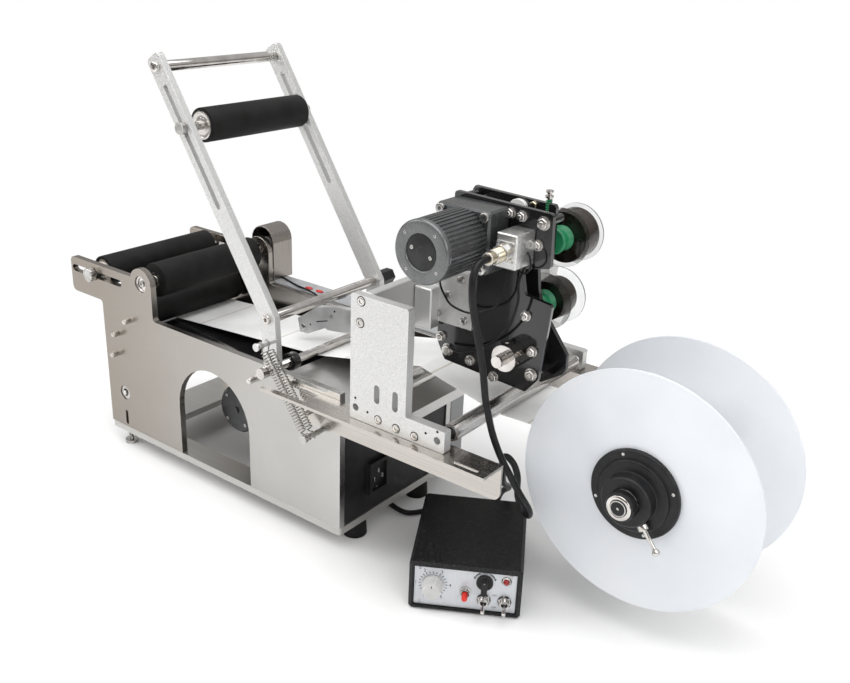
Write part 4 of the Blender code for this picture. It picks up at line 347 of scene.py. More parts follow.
# Painted reflection: going to the rear, the plates' colour is mixed towards dark brown, standing in for a
# darker bench mirrored in them.
rear_reflection_mask = tree.nodes.new("ShaderNodeMapRange")
rear_reflection_mask.interpolation_type = "SMOOTHSTEP"
rear_reflection_mask.inputs["From Min"].default_value = 0.02
rear_reflection_mask.inputs["From Max"].default_value = -0.42
rear_reflection_mask.inputs["To Max"].default_value = 0.85
tree.links.new(parts.outputs["X"], rear_reflection_mask.inputs["Value"])
painted_reflection_mix = tree.nodes.new("ShaderNodeMix")
painted_reflection_mix.data_type = "RGBA"
painted_reflection_mix.inputs["B"].default_value = (0.25, 0.215, 0.18, 1)
shader = tree.nodes["Principled BSDF"]
tree.links.new(rear_reflection_mask.outputs["Result"], painted_reflection_mix.inputs["Factor"])
tree.links.new(shader.inputs["Base Color"].links[0].from_socket, painted_reflection_mix.inputs["A"])
tree.links.new(painted_reflection_mix.outputs["Result"], shader.inputs["Base Color"])
dress("near_side_plate", plated, 0.7)
dress("far_side_plate", plated, 0.7)
chrome = finish("bright_chrome", (0.5, 0.475, 0.45), (0.66, 0.635, 0.61), 1, (0.07, 0.15),
                (50, 50, 50), 1200, 0.01)
for i, (x, z) in enumerate(((52.7, 161.5), (27.9, 138.1), (22.2, 109.2), (272, 150))):
    turned(f"plate_stud_{i + 1}", at(x, 0, z), "Y",
           [(0, -9.3), (2.4, -9.3), (3.6, -8.4), (3.6, 0.2), (0, 0.2)], chrome, "frame", "chrome")


bore_x, bore_z = 31.3, 56.9
turned("bore_bearing", at(bore_x, 0, bore_z), "Y",
       [(5.2, 1.2), (8.9, 1.2), (8.9, 7), (5.2, 7), (5.2, 1.2)], steel, "frame", "steel", (), 0.4, 48)
turned("bore_pin", at(bore_x, 0, bore_z), "Y", [(0, -1.4), (2.6, -1.4), (3.2, -0.8), (3.2, 7), (0, 7)],
       chrome, "frame", "chrome", (), 0.3, 32)

# Two bent sheets lie between the plates: the brushed steel table and the glossy black peel plate over
# which the labels come off their backing. Both are 2 to 3 mm and screwed to lips on the plates.
brushed = finish("brushed_steel", (0.5, 0.49, 0.475), (0.62, 0.61, 0.595), 1, (0.3, 0.44),
                 (12, 3200, 3200), 1500, 0.03, 0.5, spread=(0.3, 0.7))
gloss_black = finish("gloss_black", (0.004, 0.004, 0.005), (0.012, 0.012, 0.013), 0, (0.07, 0.16),
                     (30, 30, 30), 900, 0.01, 0.05, 0.6)
dress("table_plate", brushed, 0.3)
dress("peel_plate", gloss_black, 0.3)


def flat_piece(name, outline, frame_of, low, high, made, body, slot, hidden=(), ease=0.3):
    """A plate cut to an outline, in the plane that frame_of lays it in, between two depths."""
    bm = bmesh.new()
    bottom = [bm.verts.new(frame_of(a, b, low)) for a, b in outline]
    top = [bm.verts.new(frame_of(a, b, high)) for a, b in outline]
    bm.faces.new(bottom)
    bm.faces.new(top)
    for i in range(len(outline)):
        j = (i + 1) % len(outline)
        bm.faces.new([bottom[i], bottom[j], top[j], top[i]])
    piece = set_down(name, bm)
    if ease:
        break_edges(piece, ease)
    return follow(piece, made, body, slot, *hidden)


def along_y(a, b, depth):
    return at(a, depth, b)


def along_x(a, b, depth):
    return at(depth, a, b)


def along_z(a, b, depth):
    return at(a, b, depth)


def corners(left, low, right, top, radius=0.0, steps=5):
    """The outline of a rectangle with round corners."""
    if not radius:
        return [(left, low), (right, low), (right, top), (left, top)]
    line = []
    for x, y, start in ((right - radius, low + radius, -90), (right - radius, top - radius, 0),
                        (left + radius, top - radius, 90), (left + radius, low + radius, 180)):
        for i in range(steps + 1):
            turn = math.radians(start + 90 * i / steps)
            line.append((x + radius * math.cos(turn), y + radius * math.sin(turn)))
    return line


# The front panel closes the box between the plates. It is dark painted sheet with a moulded mains
# inlet in it: three flat pins stand in the well, and two small screws hold its ears.
panel_grey = finish("panel_grey", (0.1, 0.1, 0.102), (0.145, 0.145, 0.15), 0.2, (0.35, 0.5),
                    (30, 30, 30), 2200, 0.1, 0.25)
black_plastic = finish("black_plastic", (0.006, 0.006, 0.0065), (0.015, 0.015, 0.016), 0, (0.3, 0.48),
                       (70, 70, 70), 2600, 0.15, 0.08, sheen=0.35)
dress("front_panel", black_plastic, 0.3)
for i, (y, z) in enumerate(((57, 47), (64, 56), (71, 47))):
    flat_piece(f"inlet_pin_{i + 1}", corners(y - 0.8, z - 2.6, y + 0.8, z + 2.6, 0.3), along_x,
               398.2, 401.5, steel, "frame", "steel", ease=0.15)


shadow = finish("bore_shadow", (0.006, 0.006, 0.006), (0.016, 0.015, 0.015), 0, (0.6, 0.8),
                (200, 200, 200), 2000, 0.1, sheen=0.1)


def cap_screw(name, centre, axis, radius, high, made, body, slot="steel", socket=0.5):
    """A socket head screw: a round head with a six-sided well, its foot at the centre given."""
    along = Vector(axis).normalized()
    side = along.orthogonal().normalized()
    over = along.cross(side)

    def ring(bm, reach, out, count):
        return [bm.verts.new(centre + along * out / 1000 + (
            side * math.cos(2 * math.pi * i / count) + over * math.sin(2 * math.pi * i / count))
            * reach / 1000) for i in range(count)]

    bm = bmesh.new()
    soft = min(0.4, radius * 0.12)
    rings = [ring(bm, radius * 0.9, -0.1, 36), ring(bm, radius, 0, 36), ring(bm, radius, high - soft, 36),
             ring(bm, radius - soft * 0.4, high - soft * 0.35, 36), ring(bm, radius - soft, high, 36)]
    for one, two in zip(rings, rings[1:]):
        for i in range(36):
            bm.faces.new([one[i], one[(i + 1) % 36], two[(i + 1) % 36], two[i]])
    bm.faces.new(rings[0])
    # Painted shade: the walls and floor of the six-sided well take the second finish, the dark bore
    # shadow.
    well = ring(bm, radius * socket, high, 6)
    floor = ring(bm, radius * socket, high - min(high * 0.8, radius * 0.7), 6)
    for i in range(6):
        bm.faces.new([well[i], well[(i + 1) % 6], floor[(i + 1) % 6], floor[i]]).material_index = 1
        rim = [rings[-1][(i * 6 + k) % 36] for k in range(7)]
        bm.faces.new([well[i], well[(i + 1) % 6], *reversed(rim)])
    bm.faces.new(floor).material_index = 1
    piece = set_down(name, bm)
    follow(piece, made, body, slot)
    piece.data.materials.append(shadow)
    return piece


cap_screw("inlet_screw_low", at(398, 64, 33.5), (1, 0, 0), 1.8, 1.2, steel, "frame")
cap_screw("inlet_screw_top", at(398, 64, 68), (1, 0, 0), 1.8, 1.2, steel, "frame")

# The drive runs in a closed box along the far plate. Its lid is a grey key panel with two red rubber
# keys and a small blue display, and a folded steel cover with a black inside goes over the pulley.
housing_paint = finish("housing_paint", (0.33, 0.335, 0.34), (0.36, 0.365, 0.37), 0.1, (0.4, 0.5),
                       (40, 40, 40), 2400, 0.12, 0.4)
dress("drive_housing", housing_paint, 0.6)
key_panel = finish("key_panel", (0.33, 0.34, 0.35), (0.4, 0.41, 0.42), 0, (0.4, 0.55), (60, 60, 60),
                   2000, 0.08)
flat_piece("key_sheet", corners(118, 203, 262, 227, 2), along_z, 174.6, 175, key_panel, "frame",
           "grey_metal", ease=0.1)
red_rubber = finish("red_rubber", (0.5, 0.012, 0.01), (0.7, 0.03, 0.02), 0, (0.3, 0.45),
                    (80, 80, 80), 2000, 0.08)
for i, x in enumerate((156, 175)):
    oval = [(x + 6 * math.cos(t / 16 * math.pi), 209 + 3.4 * math.sin(t / 16 * math.pi))
            for t in range(32)]
    flat_piece(f"red_key_{i + 1}", oval, along_z, 174.9, 176.6, red_rubber, "frame", "red", ease=0.8)
display_blue = finish("display_blue", (0.06, 0.13, 0.22), (0.2, 0.3, 0.4), 0, (0.05, 0.15),
                      (500, 500, 500), 3000, 0.02)
flat_piece("display_pane", corners(190, 204.5, 212, 219, 1), along_z, 174.9, 175.4, display_blue,
           "frame", "clear", ease=0.2)
flat_piece("display_rim", corners(188, 203.2, 214, 220.6, 2), along_z, 174.8, 175.2, panel_grey,
           "frame", "black_plastic", ease=0.2)
warm_brushed = finish("warm_brushed_steel", (0.25, 0.225, 0.205), (0.36, 0.33, 0.305), 1, (0.22, 0.36),
                      (3000, 3000, 14), 1500, 0.03, 0.6, spread=(0.3, 0.7))
dress("drive_cover", warm_brushed, 0.35)
cap_screw("cover_screw", at(79, 200.4, 184), (0, -1, 0), 2.6, 1.6, steel, "frame")
for i, (x, z) in enumerate(((52, 20), (230, 20), (392, 20), (52, 168), (230, 168), (392, 168))):
    cap_screw(f"housing_screw_{i + 1}", at(x, 228.8, z), (0, 1, 0), 2.6, 1.6, steel, "frame")

# The drive motor hangs behind the arch on the far plate: a dark painted can with a front collar, seen
# through the opening. Four small screws go through its round end.
motor_dark = finish("motor_dark", (0.05, 0.052, 0.055), (0.085, 0.087, 0.09), 0.4, (0.35, 0.5),
                    (50, 50, 50), 2200, 0.12, 0.35)
dress("drive_motor", motor_dark, 0)
for i in range(4):
    turn = math.radians(45 + 90 * i)
    cap_screw(f"motor_screw_{i + 1}", at(190 + 22 * math.cos(turn), 45.2, 68 + 22 * math.sin(turn)),
              (0, -1, 0), 2.2, 1.8, steel, "frame")

# Three rollers turn the bottle. The fixed one is a black rubber sleeve on a steel core, whose journal
# shows in the bore of the post with its small centre screw; a toothed pulley drives its far end.
fixed_x, fixed_z = 79, 214.5
turned("fixed_sleeve", at(fixed_x, 0, fixed_z), "Y",
       [(9.4, 22), (21, 22), (21, 178), (9.4, 178), (9.4, 22)], rubber, "fixed_roller_body", "rubber",
       ("fixed_roller",), 1.2, 96)
turned("fixed_core", at(fixed_x, 0, fixed_z), "Y",
       [(0, 4.4), (7.2, 4.4), (7.2, 2.4), (8.2, 1.6), (9.7, 1.6), (9.7, 8), (6, 8.4),
        (6, 22), (9.5, 22), (9.5, 178), (6, 178), (6, 191.6), (9.7, 192), (9.7, 200), (5, 200.2),
        (5, 207.8), (0, 207.8)], chrome, "fixed_roller_body", "steel", (), 0.4, 72)
cap_screw("fixed_centre_screw", at(fixed_x, 4.4, fixed_z), (0, -1, 0), 4, 3, steel, "fixed_roller_body")
tooth = 22
turned("fixed_pulley", at(fixed_x, 0, fixed_z), "Y",
       [(0, 207.8), (15.5, 207.8), (15.5, 209.3), (13.8, 209.8), (13.8, 220.2), (15.5, 220.7),
        (15.5, 222), (5, 222), (5, 221), (0, 221)], milled, "fixed_roller_body", "steel", (), 0.3, 88,
       lambda turn: 1 - 0.02 * (math.cos(turn * tooth) > 0))
pull_x, pull_z = 34, 157
turned("pull_sleeve", at(pull_x, 0, pull_z), "Y",
       [(4.5, 14), (17.5, 14), (17.5, 186), (4.5, 186), (4.5, 14)], rubber, "pull_roller_body",
       "rubber", ("pull_roller",), 1.2, 96)
flat_piece("pull_lip", corners(20, 8, 56, 192, 1), along_z, 133.5, 136.5, gloss_black, "frame",
           "black_metal", ease=0.3)
turned("pull_core", at(pull_x, 0, pull_z), "Y", [(0, 4.4), (4, 4.4), (4, 195.6), (0, 195.6)], steel,
       "pull_roller_body", "steel", (), 0.4, 36)
adjustable_x, adjustable_z = -15, 206
turned("adjustable_sleeve", at(adjustable_x, 0, adjustable_z), "Y",
       [(15, 19.2), (15, 16), (19, 16), (19, 184), (15, 184), (15, 180.8), (15, 19.2)], rubber,
       "adjustable_roller_body", "rubber", ("adjustable_roller",), 1, 96)
for end, y, out in (("near", 16, 1), ("far", 184, -1)):
    turned(f"bearing_{end}", at(adjustable_x, y, adjustable_z), (0, out, 0),
           [(4.4, 0.8), (7.4, 0.8), (7.6, 1.6), (10.6, 1.6), (10.8, 0.9), (14.9, 0.9), (14.9, 5),
            (4.4, 5), (4.4, 0.8)], chrome, "adjustable_roller_body", "steel", (), 0.25, 72)
turned("adjustable_nut", at(adjustable_x, 0, adjustable_z), "Y",
       [(7.1, -8.4), (8.1, -8.4), (8.6, -7.9), (8.6, -0.6), (8.2, -0.2), (7.1, -0.2), (7.1, -8.4)],
       steel, "adjustable_axle_body", "steel", (), 0.2, 48)
dress("adjustable_axle", steel, 0.3)


# The press arm swings on the pivot shaft: two cranked alloy bars, bead blasted to a fine sparkle,
# joined by two bright round bars whose socket screws show on the near side.
blasted = finish("blasted_alloy", (0.54, 0.54, 0.535), (0.8, 0.8, 0.79), 0.8, (0.3, 0.5),
                 (1500, 1500, 1500), 2800, 0.5, 0.6, spread=(0.36, 0.7))
dress("near_arm", blasted, 0.5)
dress("far_arm", blasted, 0.5)


def middle(node):
    """The machine place, in x and z, of the middle of a CAD node."""
    low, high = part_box(node)
    return ((low.x + high.x) / 2 * 1000 + 381.5, (low.z + high.z) / 2 * 1000 - 22)


for node in ("handle_bar", "lower_bar"):
    x, z = middle(node)
    turned(f"{node}_rod", at(x, 0, z), "Y", [(0, 16.6), (6, 16.6), (6, 183.4), (0, 183.4)], chrome,
           "press_arm", "chrome", (node,), 0.6, 56)
    cap_screw(f"{node}_near_screw", at(x, 8.2, z), (0, -1, 0), 5.5, 3.7, chrome, "press_arm")
    cap_screw(f"{node}_far_screw", at(x, 191.8, z), (0, 1, 0), 5.5, 3.7, chrome, "press_arm")
press_x, press_z = 164.16, 411.06
turned("press_sleeve", at(press_x, 0, press_z), "Y",
       [(4, 34), (19, 34), (19, 183), (4, 183), (4, 34)], rubber, "press_roller_body", "rubber",
       ("press_roller",), 1.2, 96)
turned("press_bearing", at(press_x, 0, press_z), "Y",
       [(4.2, 33.4), (8, 33.4), (8.4, 33.8), (13, 33.8), (13.4, 33.2), (15.6, 33.2), (15.6, 34.6),
        (4.2, 34.6), (4.2, 33.4)], chrome, "press_roller_body", "steel", (), 0.2, 72)
dress("press_axle", steel, 0.3)
dress("arm_knob", black_plastic, 1)

# The pivot shaft is a bright bar through both plates with a black collar clamped on it, a set screw in
# the collar and a plain nut outside the near plate.
dress("pivot_shaft", chrome, 0.2)
pivot_x, pivot_z = 290, 164
turned("pivot_collar", at(pivot_x, 0, pivot_z), "Y",
       [(5.1, 35.8), (10.2, 35.8), (10.2, 46.2), (5.1, 46.2), (5.1, 35.8)], gloss_black, "frame",
       "black_metal", (), 0.7, 56)
cap_screw("collar_screw", at(pivot_x, 41, pivot_z + 9.9), (0, 0, 1), 1.8, 0.7, steel, "frame")
spring_steel = finish("spring_steel", (0.26, 0.25, 0.235), (0.42, 0.405, 0.38), 1, (0.12, 0.24),
                      (300, 300, 300), 2000, 0.02)
turned("pivot_nut", at(pivot_x, 0, pivot_z), "Y",
       [(0, -6.4), (4, -6.4), (5.8, -5.6), (5.8, -0.4), (4, -0.1), (0, -0.1)], spring_steel, "frame",
       "steel", (), 0.2, 6)


# Two tension springs of bright wire pull the arm down. Each hooks round a grooved post on
# the near arm and one on the near plate.
def wire(name, points, radius, sides=8):
    """A round wire through machine places, as a tube whose ring keeps level with the last one."""
    path = [at(*p) for p in points]
    bm = bmesh.new()
    side = (path[1] - path[0]).orthogonal().normalized()
    rings = []
    for i, here in enumerate(path):
        along = (path[min(i + 1, len(path) - 1)] - path[max(i - 1, 0)]).normalized()
        side = (side - along * side.dot(along)).normalized()
        over = along.cross(side)
        rings.append([bm.verts.new(here + (side * math.cos(2 * math.pi * k / sides)
                                           + over * math.sin(2 * math.pi * k / sides))
                                   * radius / 1000) for k in range(sides)])
    for one, two in zip(rings, rings[1:]):
        for k in range(sides):
            bm.faces.new([one[k], one[(k + 1) % sides], two[(k + 1) % sides], two[k]])
    bm.faces.new(rings[0])
    bm.faces.new(rings[-1])
    return set_down(name, bm, creased=False)


lower_x, lower_z = 375, 122.5
upper_x, upper_z = 297, 201
for name, upper_y, lower_y in (("spring_outer", -12, -25), ("spring_inner", -3, -15)):
    low_post, high_post = Vector((lower_x, lower_y, lower_z)), Vector((upper_x, upper_y, upper_z))
    along = (high_post - low_post).normalized()
    across = along.cross(Vector((0, 1, 0))).normalized()
    side = across.cross(along)
    coils, coil, hook = 29, 3.6, 3.9
    points = []
    for i in range(15):
        turn = math.radians(-290 + 290 * i / 14)
        points.append(low_post + along * (hook * math.cos(turn)) + across * (hook * math.sin(turn)))
    start = low_post + along * 8
    run = (high_post - low_post).length - 16
    for i in range(coils * 12 + 1):
        turn = 2 * math.pi * i / 12
        points.append(start + along * (run * i / (coils * 12))
                      + (across * math.cos(turn) + side * math.sin(turn)) * coil)
    for i in range(15):
        turn = math.radians(180 + 290 * i / 14)
        points.append(high_post + along * (hook * math.cos(turn)) + across * (hook * math.sin(turn)))
    piece = wire(f"{name}_wire", points, 0.72)
    piece.data.materials.append(spring_steel)
    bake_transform(piece)
    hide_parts(name)
ground = finish("ground_stainless", (0.54, 0.52, 0.5), (0.7, 0.68, 0.66), 1, (0.2, 0.32),
                (700, 12, 700), 1500, 0.02)
cap_screw("upper_post_screw", at(upper_x, -17.2, upper_z), (0, -1, 0), 4.4, 2.4, ground, "press_arm")
cap_screw("lower_post_screw", at(lower_x, -26.8, lower_z), (0, -1, 0), 4.4, 2.6, ground, "frame")
for i, y in enumerate((-8.6, -17.2, -22.2)):
    turned(f"lower_post_ring_{i + 1}", at(lower_x, y, lower_z), "Y",
           [(3.1, 0), (4.4, 0), (4.4, 0.9), (3.1, 0.9), (3.1, 0)], steel, "frame", "steel", (), 0.2, 36)

# Two angle rails of folded stainless strip carry everything in front: the near one is short and
# notched round the springs, the far one runs on to the reel. The brushing goes along them.
rail_steel = finish("rail_stainless", (0.42, 0.395, 0.365), (0.56, 0.53, 0.495), 1, (0.18, 0.32),
                    (12, 3000, 3000), 1500, 0.03, 0.6, spread=(0.3, 0.7))
dress("near_rail", rail_steel, 0.35)
dress("far_rail", rail_steel, 0.35)
for i, (x, z) in enumerate(((300, 150), (359, 150), (388, 150))):
    cap_screw(f"far_rail_screw_{i + 1}", at(x + 28, 229.1, z - 8), (0, -1, 0), 3, 1, steel, "frame")

# The web bridge: an L bracket on each rail and a cross plate between them, all bead blasted alloy.
# Socket screws sit in counterbores with a dark ring of shadow round each head.
dress("near_bracket", blasted, 0.5)
dress("far_bracket", blasted, 0.5)
dress("cross_plate", blasted, 0.5)
for i, (x, z, radius) in enumerate(((445, 291.3, 4.3), (444, 269.2, 4.3), (468.5, 174.1, 4),
                                    (491.2, 172.5, 4), (513.9, 172, 4))):
    turned(f"counterbore_{i + 1}", at(x, -21, z), "Y",
           [(0, -0.03), (radius + 0.9, -0.03), (radius + 0.9, 0.2), (0, 0.2)], shadow, "frame",
           "black_metal", (), 0.02, 40)
    cap_screw(f"bracket_screw_{i + 1}", at(x, -21, z), (0, -1, 0), radius, 0.9, chrome, "frame",
              socket=0.56)
# Painted shade: the tapped holes are thin dark discs of the shadow finish on the bracket face.
for i, (x, z) in enumerate(((439, 188.5), (540.5, 186), (455, 178), (527, 180))):
    turned(f"tapped_hole_{i + 1}", at(x, -21, z), "Y",
           [(0, -0.03), (1.4, -0.03), (1.4, 0.2), (0, 0.2)], shadow, "frame", "black_metal", (),
           0.02, 20)
for i, (x, z) in enumerate(((445, 291.3), (444, 269.2))):
    cap_screw(f"far_bracket_screw_{i + 1}", at(x, 250.2, z), (0, 1, 0), 4.3, 2.4, steel, "frame")

# Two guide rollers steer the web under the bridge. They are ground stainless tubes on black bearing
# ends, free on pins in the brackets.
for place, x, z, radius in (("rear", 439.5, 178.5, 10), ("front", 540.5, 176.5, 9)):
    turned(f"guide_tube_{place}", at(x, 0, z), "Y",
           [(6.3, 0.6), (radius, 0.6), (radius, 231.6), (6.3, 231.6), (6.3, 0.6)], ground,
           f"guide_{place}_body", "steel", (f"guide_roller_{place}",), 0.7, 80)
    for end, y in (("near", 0), ("far", 229)):
        turned(f"guide_bearing_{place}_{end}", at(x, y, z), "Y",
               [(0, 0), (6.2, 0), (6.2, 3.3), (0, 3.3)], gloss_black, f"guide_{place}_body",
               "black_metal", (), 0.5, 40)


# The supply reel: two frosted plastic discs, a wound paper roll between them and a black hub flange
# with a clamp screw that locks the near disc along the spindle.
frosted = finish("frosted_disc", (0.86, 0.89, 0.93), (0.92, 0.94, 0.97), 0, (0.3, 0.42), (10, 10, 10),
                 1800, 0.04, 0, 0, 0.3, index=1.2)
reel_x, reel_z = 702, 141
turned("disc_far", at(reel_x, 0, reel_z), "Y",
       [(8.4, 181), (121, 181), (121, 184), (8.4, 184), (8.4, 181)], frosted, "reel", "frosted",
       ("far_disc",), 0.5, 192)
turned("disc_near", at(reel_x, 0, reel_z), "Y",
       [(14.6, 75), (121, 75), (121, 78), (14.6, 78), (14.6, 75)], frosted, "reel_near", "frosted",
       ("near_disc",), 0.5, 192)
wound_paper = finish("wound_paper", (0.6, 0.58, 0.54), (0.78, 0.77, 0.74), 0, (0.55, 0.75),
                     (500, 14, 500), 1500, 0.15)
turned("paper_roll", at(reel_x, 0, reel_z), "Y",
       [(14.2, 82), (30, 82), (30, 176), (14.2, 176), (14.2, 82)], wound_paper, "reel", "paper", (),
       0.4, 120)
turned("reel_spindle", at(reel_x, 0, reel_z), "Y",
       [(8.4, 50), (14, 50), (14, 181), (8.4, 181), (8.4, 50)], steel, "reel", "steel", (), 0.8, 72)
turned("hub_flange", at(reel_x, 0, reel_z), "Y",
       [(14.6, 51.7), (23.5, 51.7), (25, 53.5), (25, 64.9), (26, 65.5), (34.6, 65.7), (36.2, 66.6),
        (36.4, 69.7), (43.6, 69.7), (45, 71), (45, 74.7), (14.6, 74.7), (14.6, 51.7)],
       black_plastic, "reel_near", "black_plastic", ("reel_flange",), 0.5, 120)
for i in range(4):
    turn = math.radians(22 + 90 * i)
    cap_screw(f"flange_screw_{i + 1}",
              at(reel_x + 40.5 * math.cos(turn), 69.8, reel_z + 40.5 * math.sin(turn)),
              (0, -1, 0), 1.7, 0.6, steel, "reel_near")
clamp_way = Vector((0.6018, 0, -0.7986))


def on_clamp(out):
    return at(reel_x + clamp_way.x * out, 60.7, reel_z + clamp_way.z * out)


turned("clamp_lever", on_clamp(0), clamp_way,
       [(0, 20), (2.4, 20), (2.4, 25.3), (5.5, 25.6), (5.5, 31), (2.3, 31.6), (2.1, 50), (2.6, 52),
        (4, 54.2), (3.4, 56.6), (1.8, 57.6), (0, 57.8)], chrome, "clamp_screw", "chrome",
       ("reel_clamp",), 0.5, 48)
dress("reel_shaft", steel, 0)
turned("shaft_sleeve", at(reel_x, 0, reel_z), "Y",
       [(12, 40.2), (13.4, 40.2), (14.2, 41.2), (14.2, 49.8), (12, 49.8), (12, 40.2)], black_plastic,
       "frame", "black_plastic", (), 0.4, 72)
turned("shaft_ring", at(reel_x, 0, reel_z), "Y",
       [(8.4, 40.6), (8.4, 39), (10, 38.6), (12.2, 39.2), (12.6, 40.4), (8.4, 40.6)], chrome, "frame",
       "steel", (), 0.3, 72)
turned("shaft_end", at(reel_x, 0, reel_z), "Y",
       [(0, 39.4), (1.5, 39.4), (1.5, 37.2), (6.4, 37.2), (6.8, 38), (8.3, 38.2), (8.3, 40.5), (0, 40.5)],
       black_plastic, "frame", "black_plastic", (), 0.3, 48)


# The label web is a long strip of waxed backing paper with white labels on it. It leaves the roll's
# top, dips under and over the guides, passes the pivot shaft and is pulled down behind the rear roller.
def web_places(step):
    """Points of the web's middle, round the roll, the rollers and the shaft, step degrees apart."""
    stops = ((reel_x, reel_z, 30.5, -1), (540.5, 176.5, 9.5, 1), (439.5, 178.5, 10.5, -1),
             (pivot_x, pivot_z, 5.5, 1), (pull_x, pull_z, 18, 1))
    legs = []
    for (ax, az, ar, a_side), (bx, bz, br, b_side) in zip(stops, stops[1:]):
        reach = math.hypot(bx - ax, bz - az)
        course = math.atan2(bz - az, bx - ax) - math.asin((a_side * ar - b_side * br) / reach)
        legs.append(course + math.pi / 2)
    x, z, radius, side = stops[0]
    places = [(x + radius * side * math.cos(legs[0]), z + radius * side * math.sin(legs[0]))]
    for (x, z, radius, side), enter, leave in zip(stops[1:], legs,
                                                  legs[1:] + [legs[-1] - math.radians(100)]):
        first = enter if side > 0 else enter + math.pi
        turn = (leave - enter + math.pi) % (2 * math.pi) - math.pi
        steps = max(4, math.ceil(abs(turn) / math.radians(step)))
        places += [(x + radius * math.cos(first + turn * i / steps),
                    z + radius * math.sin(first + turn * i / steps)) for i in range(steps + 1)]
    return places


line = [Vector(p) for p in web_places(4)]
bm = bmesh.new()
sheet_uv = bm.loops.layers.uv.new("run")
rows, gone = [], 0
for i, here in enumerate(line):
    along = (line[min(i + 1, len(line) - 1)] - line[max(i - 1, 0)]).normalized()
    across = Vector((-along.y, along.x)) * 0.2
    gone += (here - line[max(i - 1, 0)]).length
    rows.append(([bm.verts.new(at((here + across * s).x, y, (here + across * s).y))
                  for y, s in ((82, 1), (176, 1), (176, -1), (82, -1))], gone))
for (one, start), (two, stop) in zip(rows, rows[1:]):
    for k in range(4):
        j = (k + 1) % 4
        face = bm.faces.new([one[k], one[j], two[j], two[k]])
        for loop, run, y in zip(face.loops, (start, start, stop, stop), (k, j, j, k)):
            loop[sheet_uv].uv = (run / 1000, (0.0, 0.094, 0.094, 0.0)[y])
bm.faces.new(rows[0][0])
bm.faces.new(rows[-1][0])
web = set_down("web_strip", bm)
paper = finish("label_paper", (0.78, 0.78, 0.77), (0.86, 0.86, 0.85), 0, (0.4, 0.6), (25, 25, 25),
               1500, 0.06)
tree = paper.node_tree
run_map = tree.nodes.new("ShaderNodeUVMap")
run_map.uv_map = "run"
parts = tree.nodes.new("ShaderNodeSeparateXYZ")
tree.links.new(run_map.outputs["UV"], parts.inputs["Vector"])
gap = tree.nodes.new("ShaderNodeMath")
gap.operation = "PINGPONG"
gap.inputs[1].default_value = 0.062
tree.links.new(parts.outputs["X"], gap.inputs[0])
seam = tree.nodes.new("ShaderNodeMapRange")
seam.inputs["From Min"].default_value = 0.0004
seam.inputs["From Max"].default_value = 0.0016
seam.inputs["To Min"].default_value = 1
seam.inputs["To Max"].default_value = 0
tree.links.new(gap.outputs[0], seam.inputs["Value"])
backing = tree.nodes.new("ShaderNodeMix")
backing.data_type = "RGBA"
backing.inputs["B"].default_value = (0.56, 0.53, 0.45, 1)
shader = tree.nodes["Principled BSDF"]
tree.links.new(shader.inputs["Base Color"].links[0].from_socket, backing.inputs["A"])
tree.links.new(seam.outputs["Result"], backing.inputs["Factor"])
tree.links.new(backing.outputs["Result"], shader.inputs["Base Color"])
follow(web, paper, "frame", "paper", "label_web")


# The ribbon coder hangs on the bridge: two gloss black steel cheeks stand apart on pillars. Chrome
# hexagon nuts and studs show on the near cheek.
dress("coder_near_cheek", gloss_black, 0.3)
dress("coder_mount", blasted, 0.4)


def cheek(share_x, share_z):
    return 468 + 129 * share_x, 206 + 183 * share_z


flat_piece("far_cheek", [cheek(*share) for share in (
    (0, 0.262), (0, 0.137), (0.078, 0.033), (0.837, 0), (1.02, 0.085), (1.04, 0.12), (1.035, 0.2),
    (0.79, 0.42), (0.745, 0.52), (0.725, 0.66), (0.82, 0.685), (0.835, 0.7), (0.835, 0.97),
    (0.82, 0.985), (0.12, 1), (0.101, 0.98), (0.101, 0.699), (0.326, 0.678), (0.326, 0.306))],
    along_y, 102, 107, gloss_black, "frame", "black_metal", ("coder_far_cheek",), 0.4)
for i, left in enumerate((499, 525.1)):
    flat_piece(f"guide_bar_{i + 1}", corners(left, 240, left + 5.5, 262), along_y, 107, 122, steel,
               "frame", "steel", ease=0.4)

nut_places = [cheek(0.11, 0.1), cheek(0.88, 0.11), cheek(0.88, 0.93), (473.4, 236.5), (510.5, 220.3),
              (539.4, 211.5), (581, 249.9), (570.8, 284), (558.3, 378.5), (577.3, 354.7), (546, 379.4)]
for i, (x, z) in enumerate(nut_places):
    big = 1 if i < 3 else 0.82
    turned(f"nut_washer_{i + 1}", at(x, 72, z), "Y",
           [(0, -1.1), (6.6 * big, -1.1), (6.6 * big, 0.1), (0, 0.1)], steel, "frame", "steel", (),
           0.25, 40)
    turned(f"cheek_nut_{i + 1}", at(x, 72, z), "Y",
           [(2.9 * big, -5), (4.8 * big, -5.1), (5.7 * big, -4.4), (5.7 * big, -1), (2.9 * big, -1),
            (2.9 * big, -5)], chrome, "frame", "chrome", (), 0.15, 6)
    turned(f"cheek_stud_{i + 1}", at(x, 72, z), "Y",
           [(0, -6.6), (2 * big, -6.6), (2.8 * big, -5.9), (2.8 * big, 0), (0, 0)], steel, "frame",
           "steel", (), 0.3, 32)
for i, (x, z) in enumerate(((466, 301), (497, 303), (482, 284), (470, 262), (503, 262))):
    cap_screw(f"mount_screw_{i + 1}", at(x, 68.4, z), (0, -1, 0), 4, 3.4, steel, "frame")

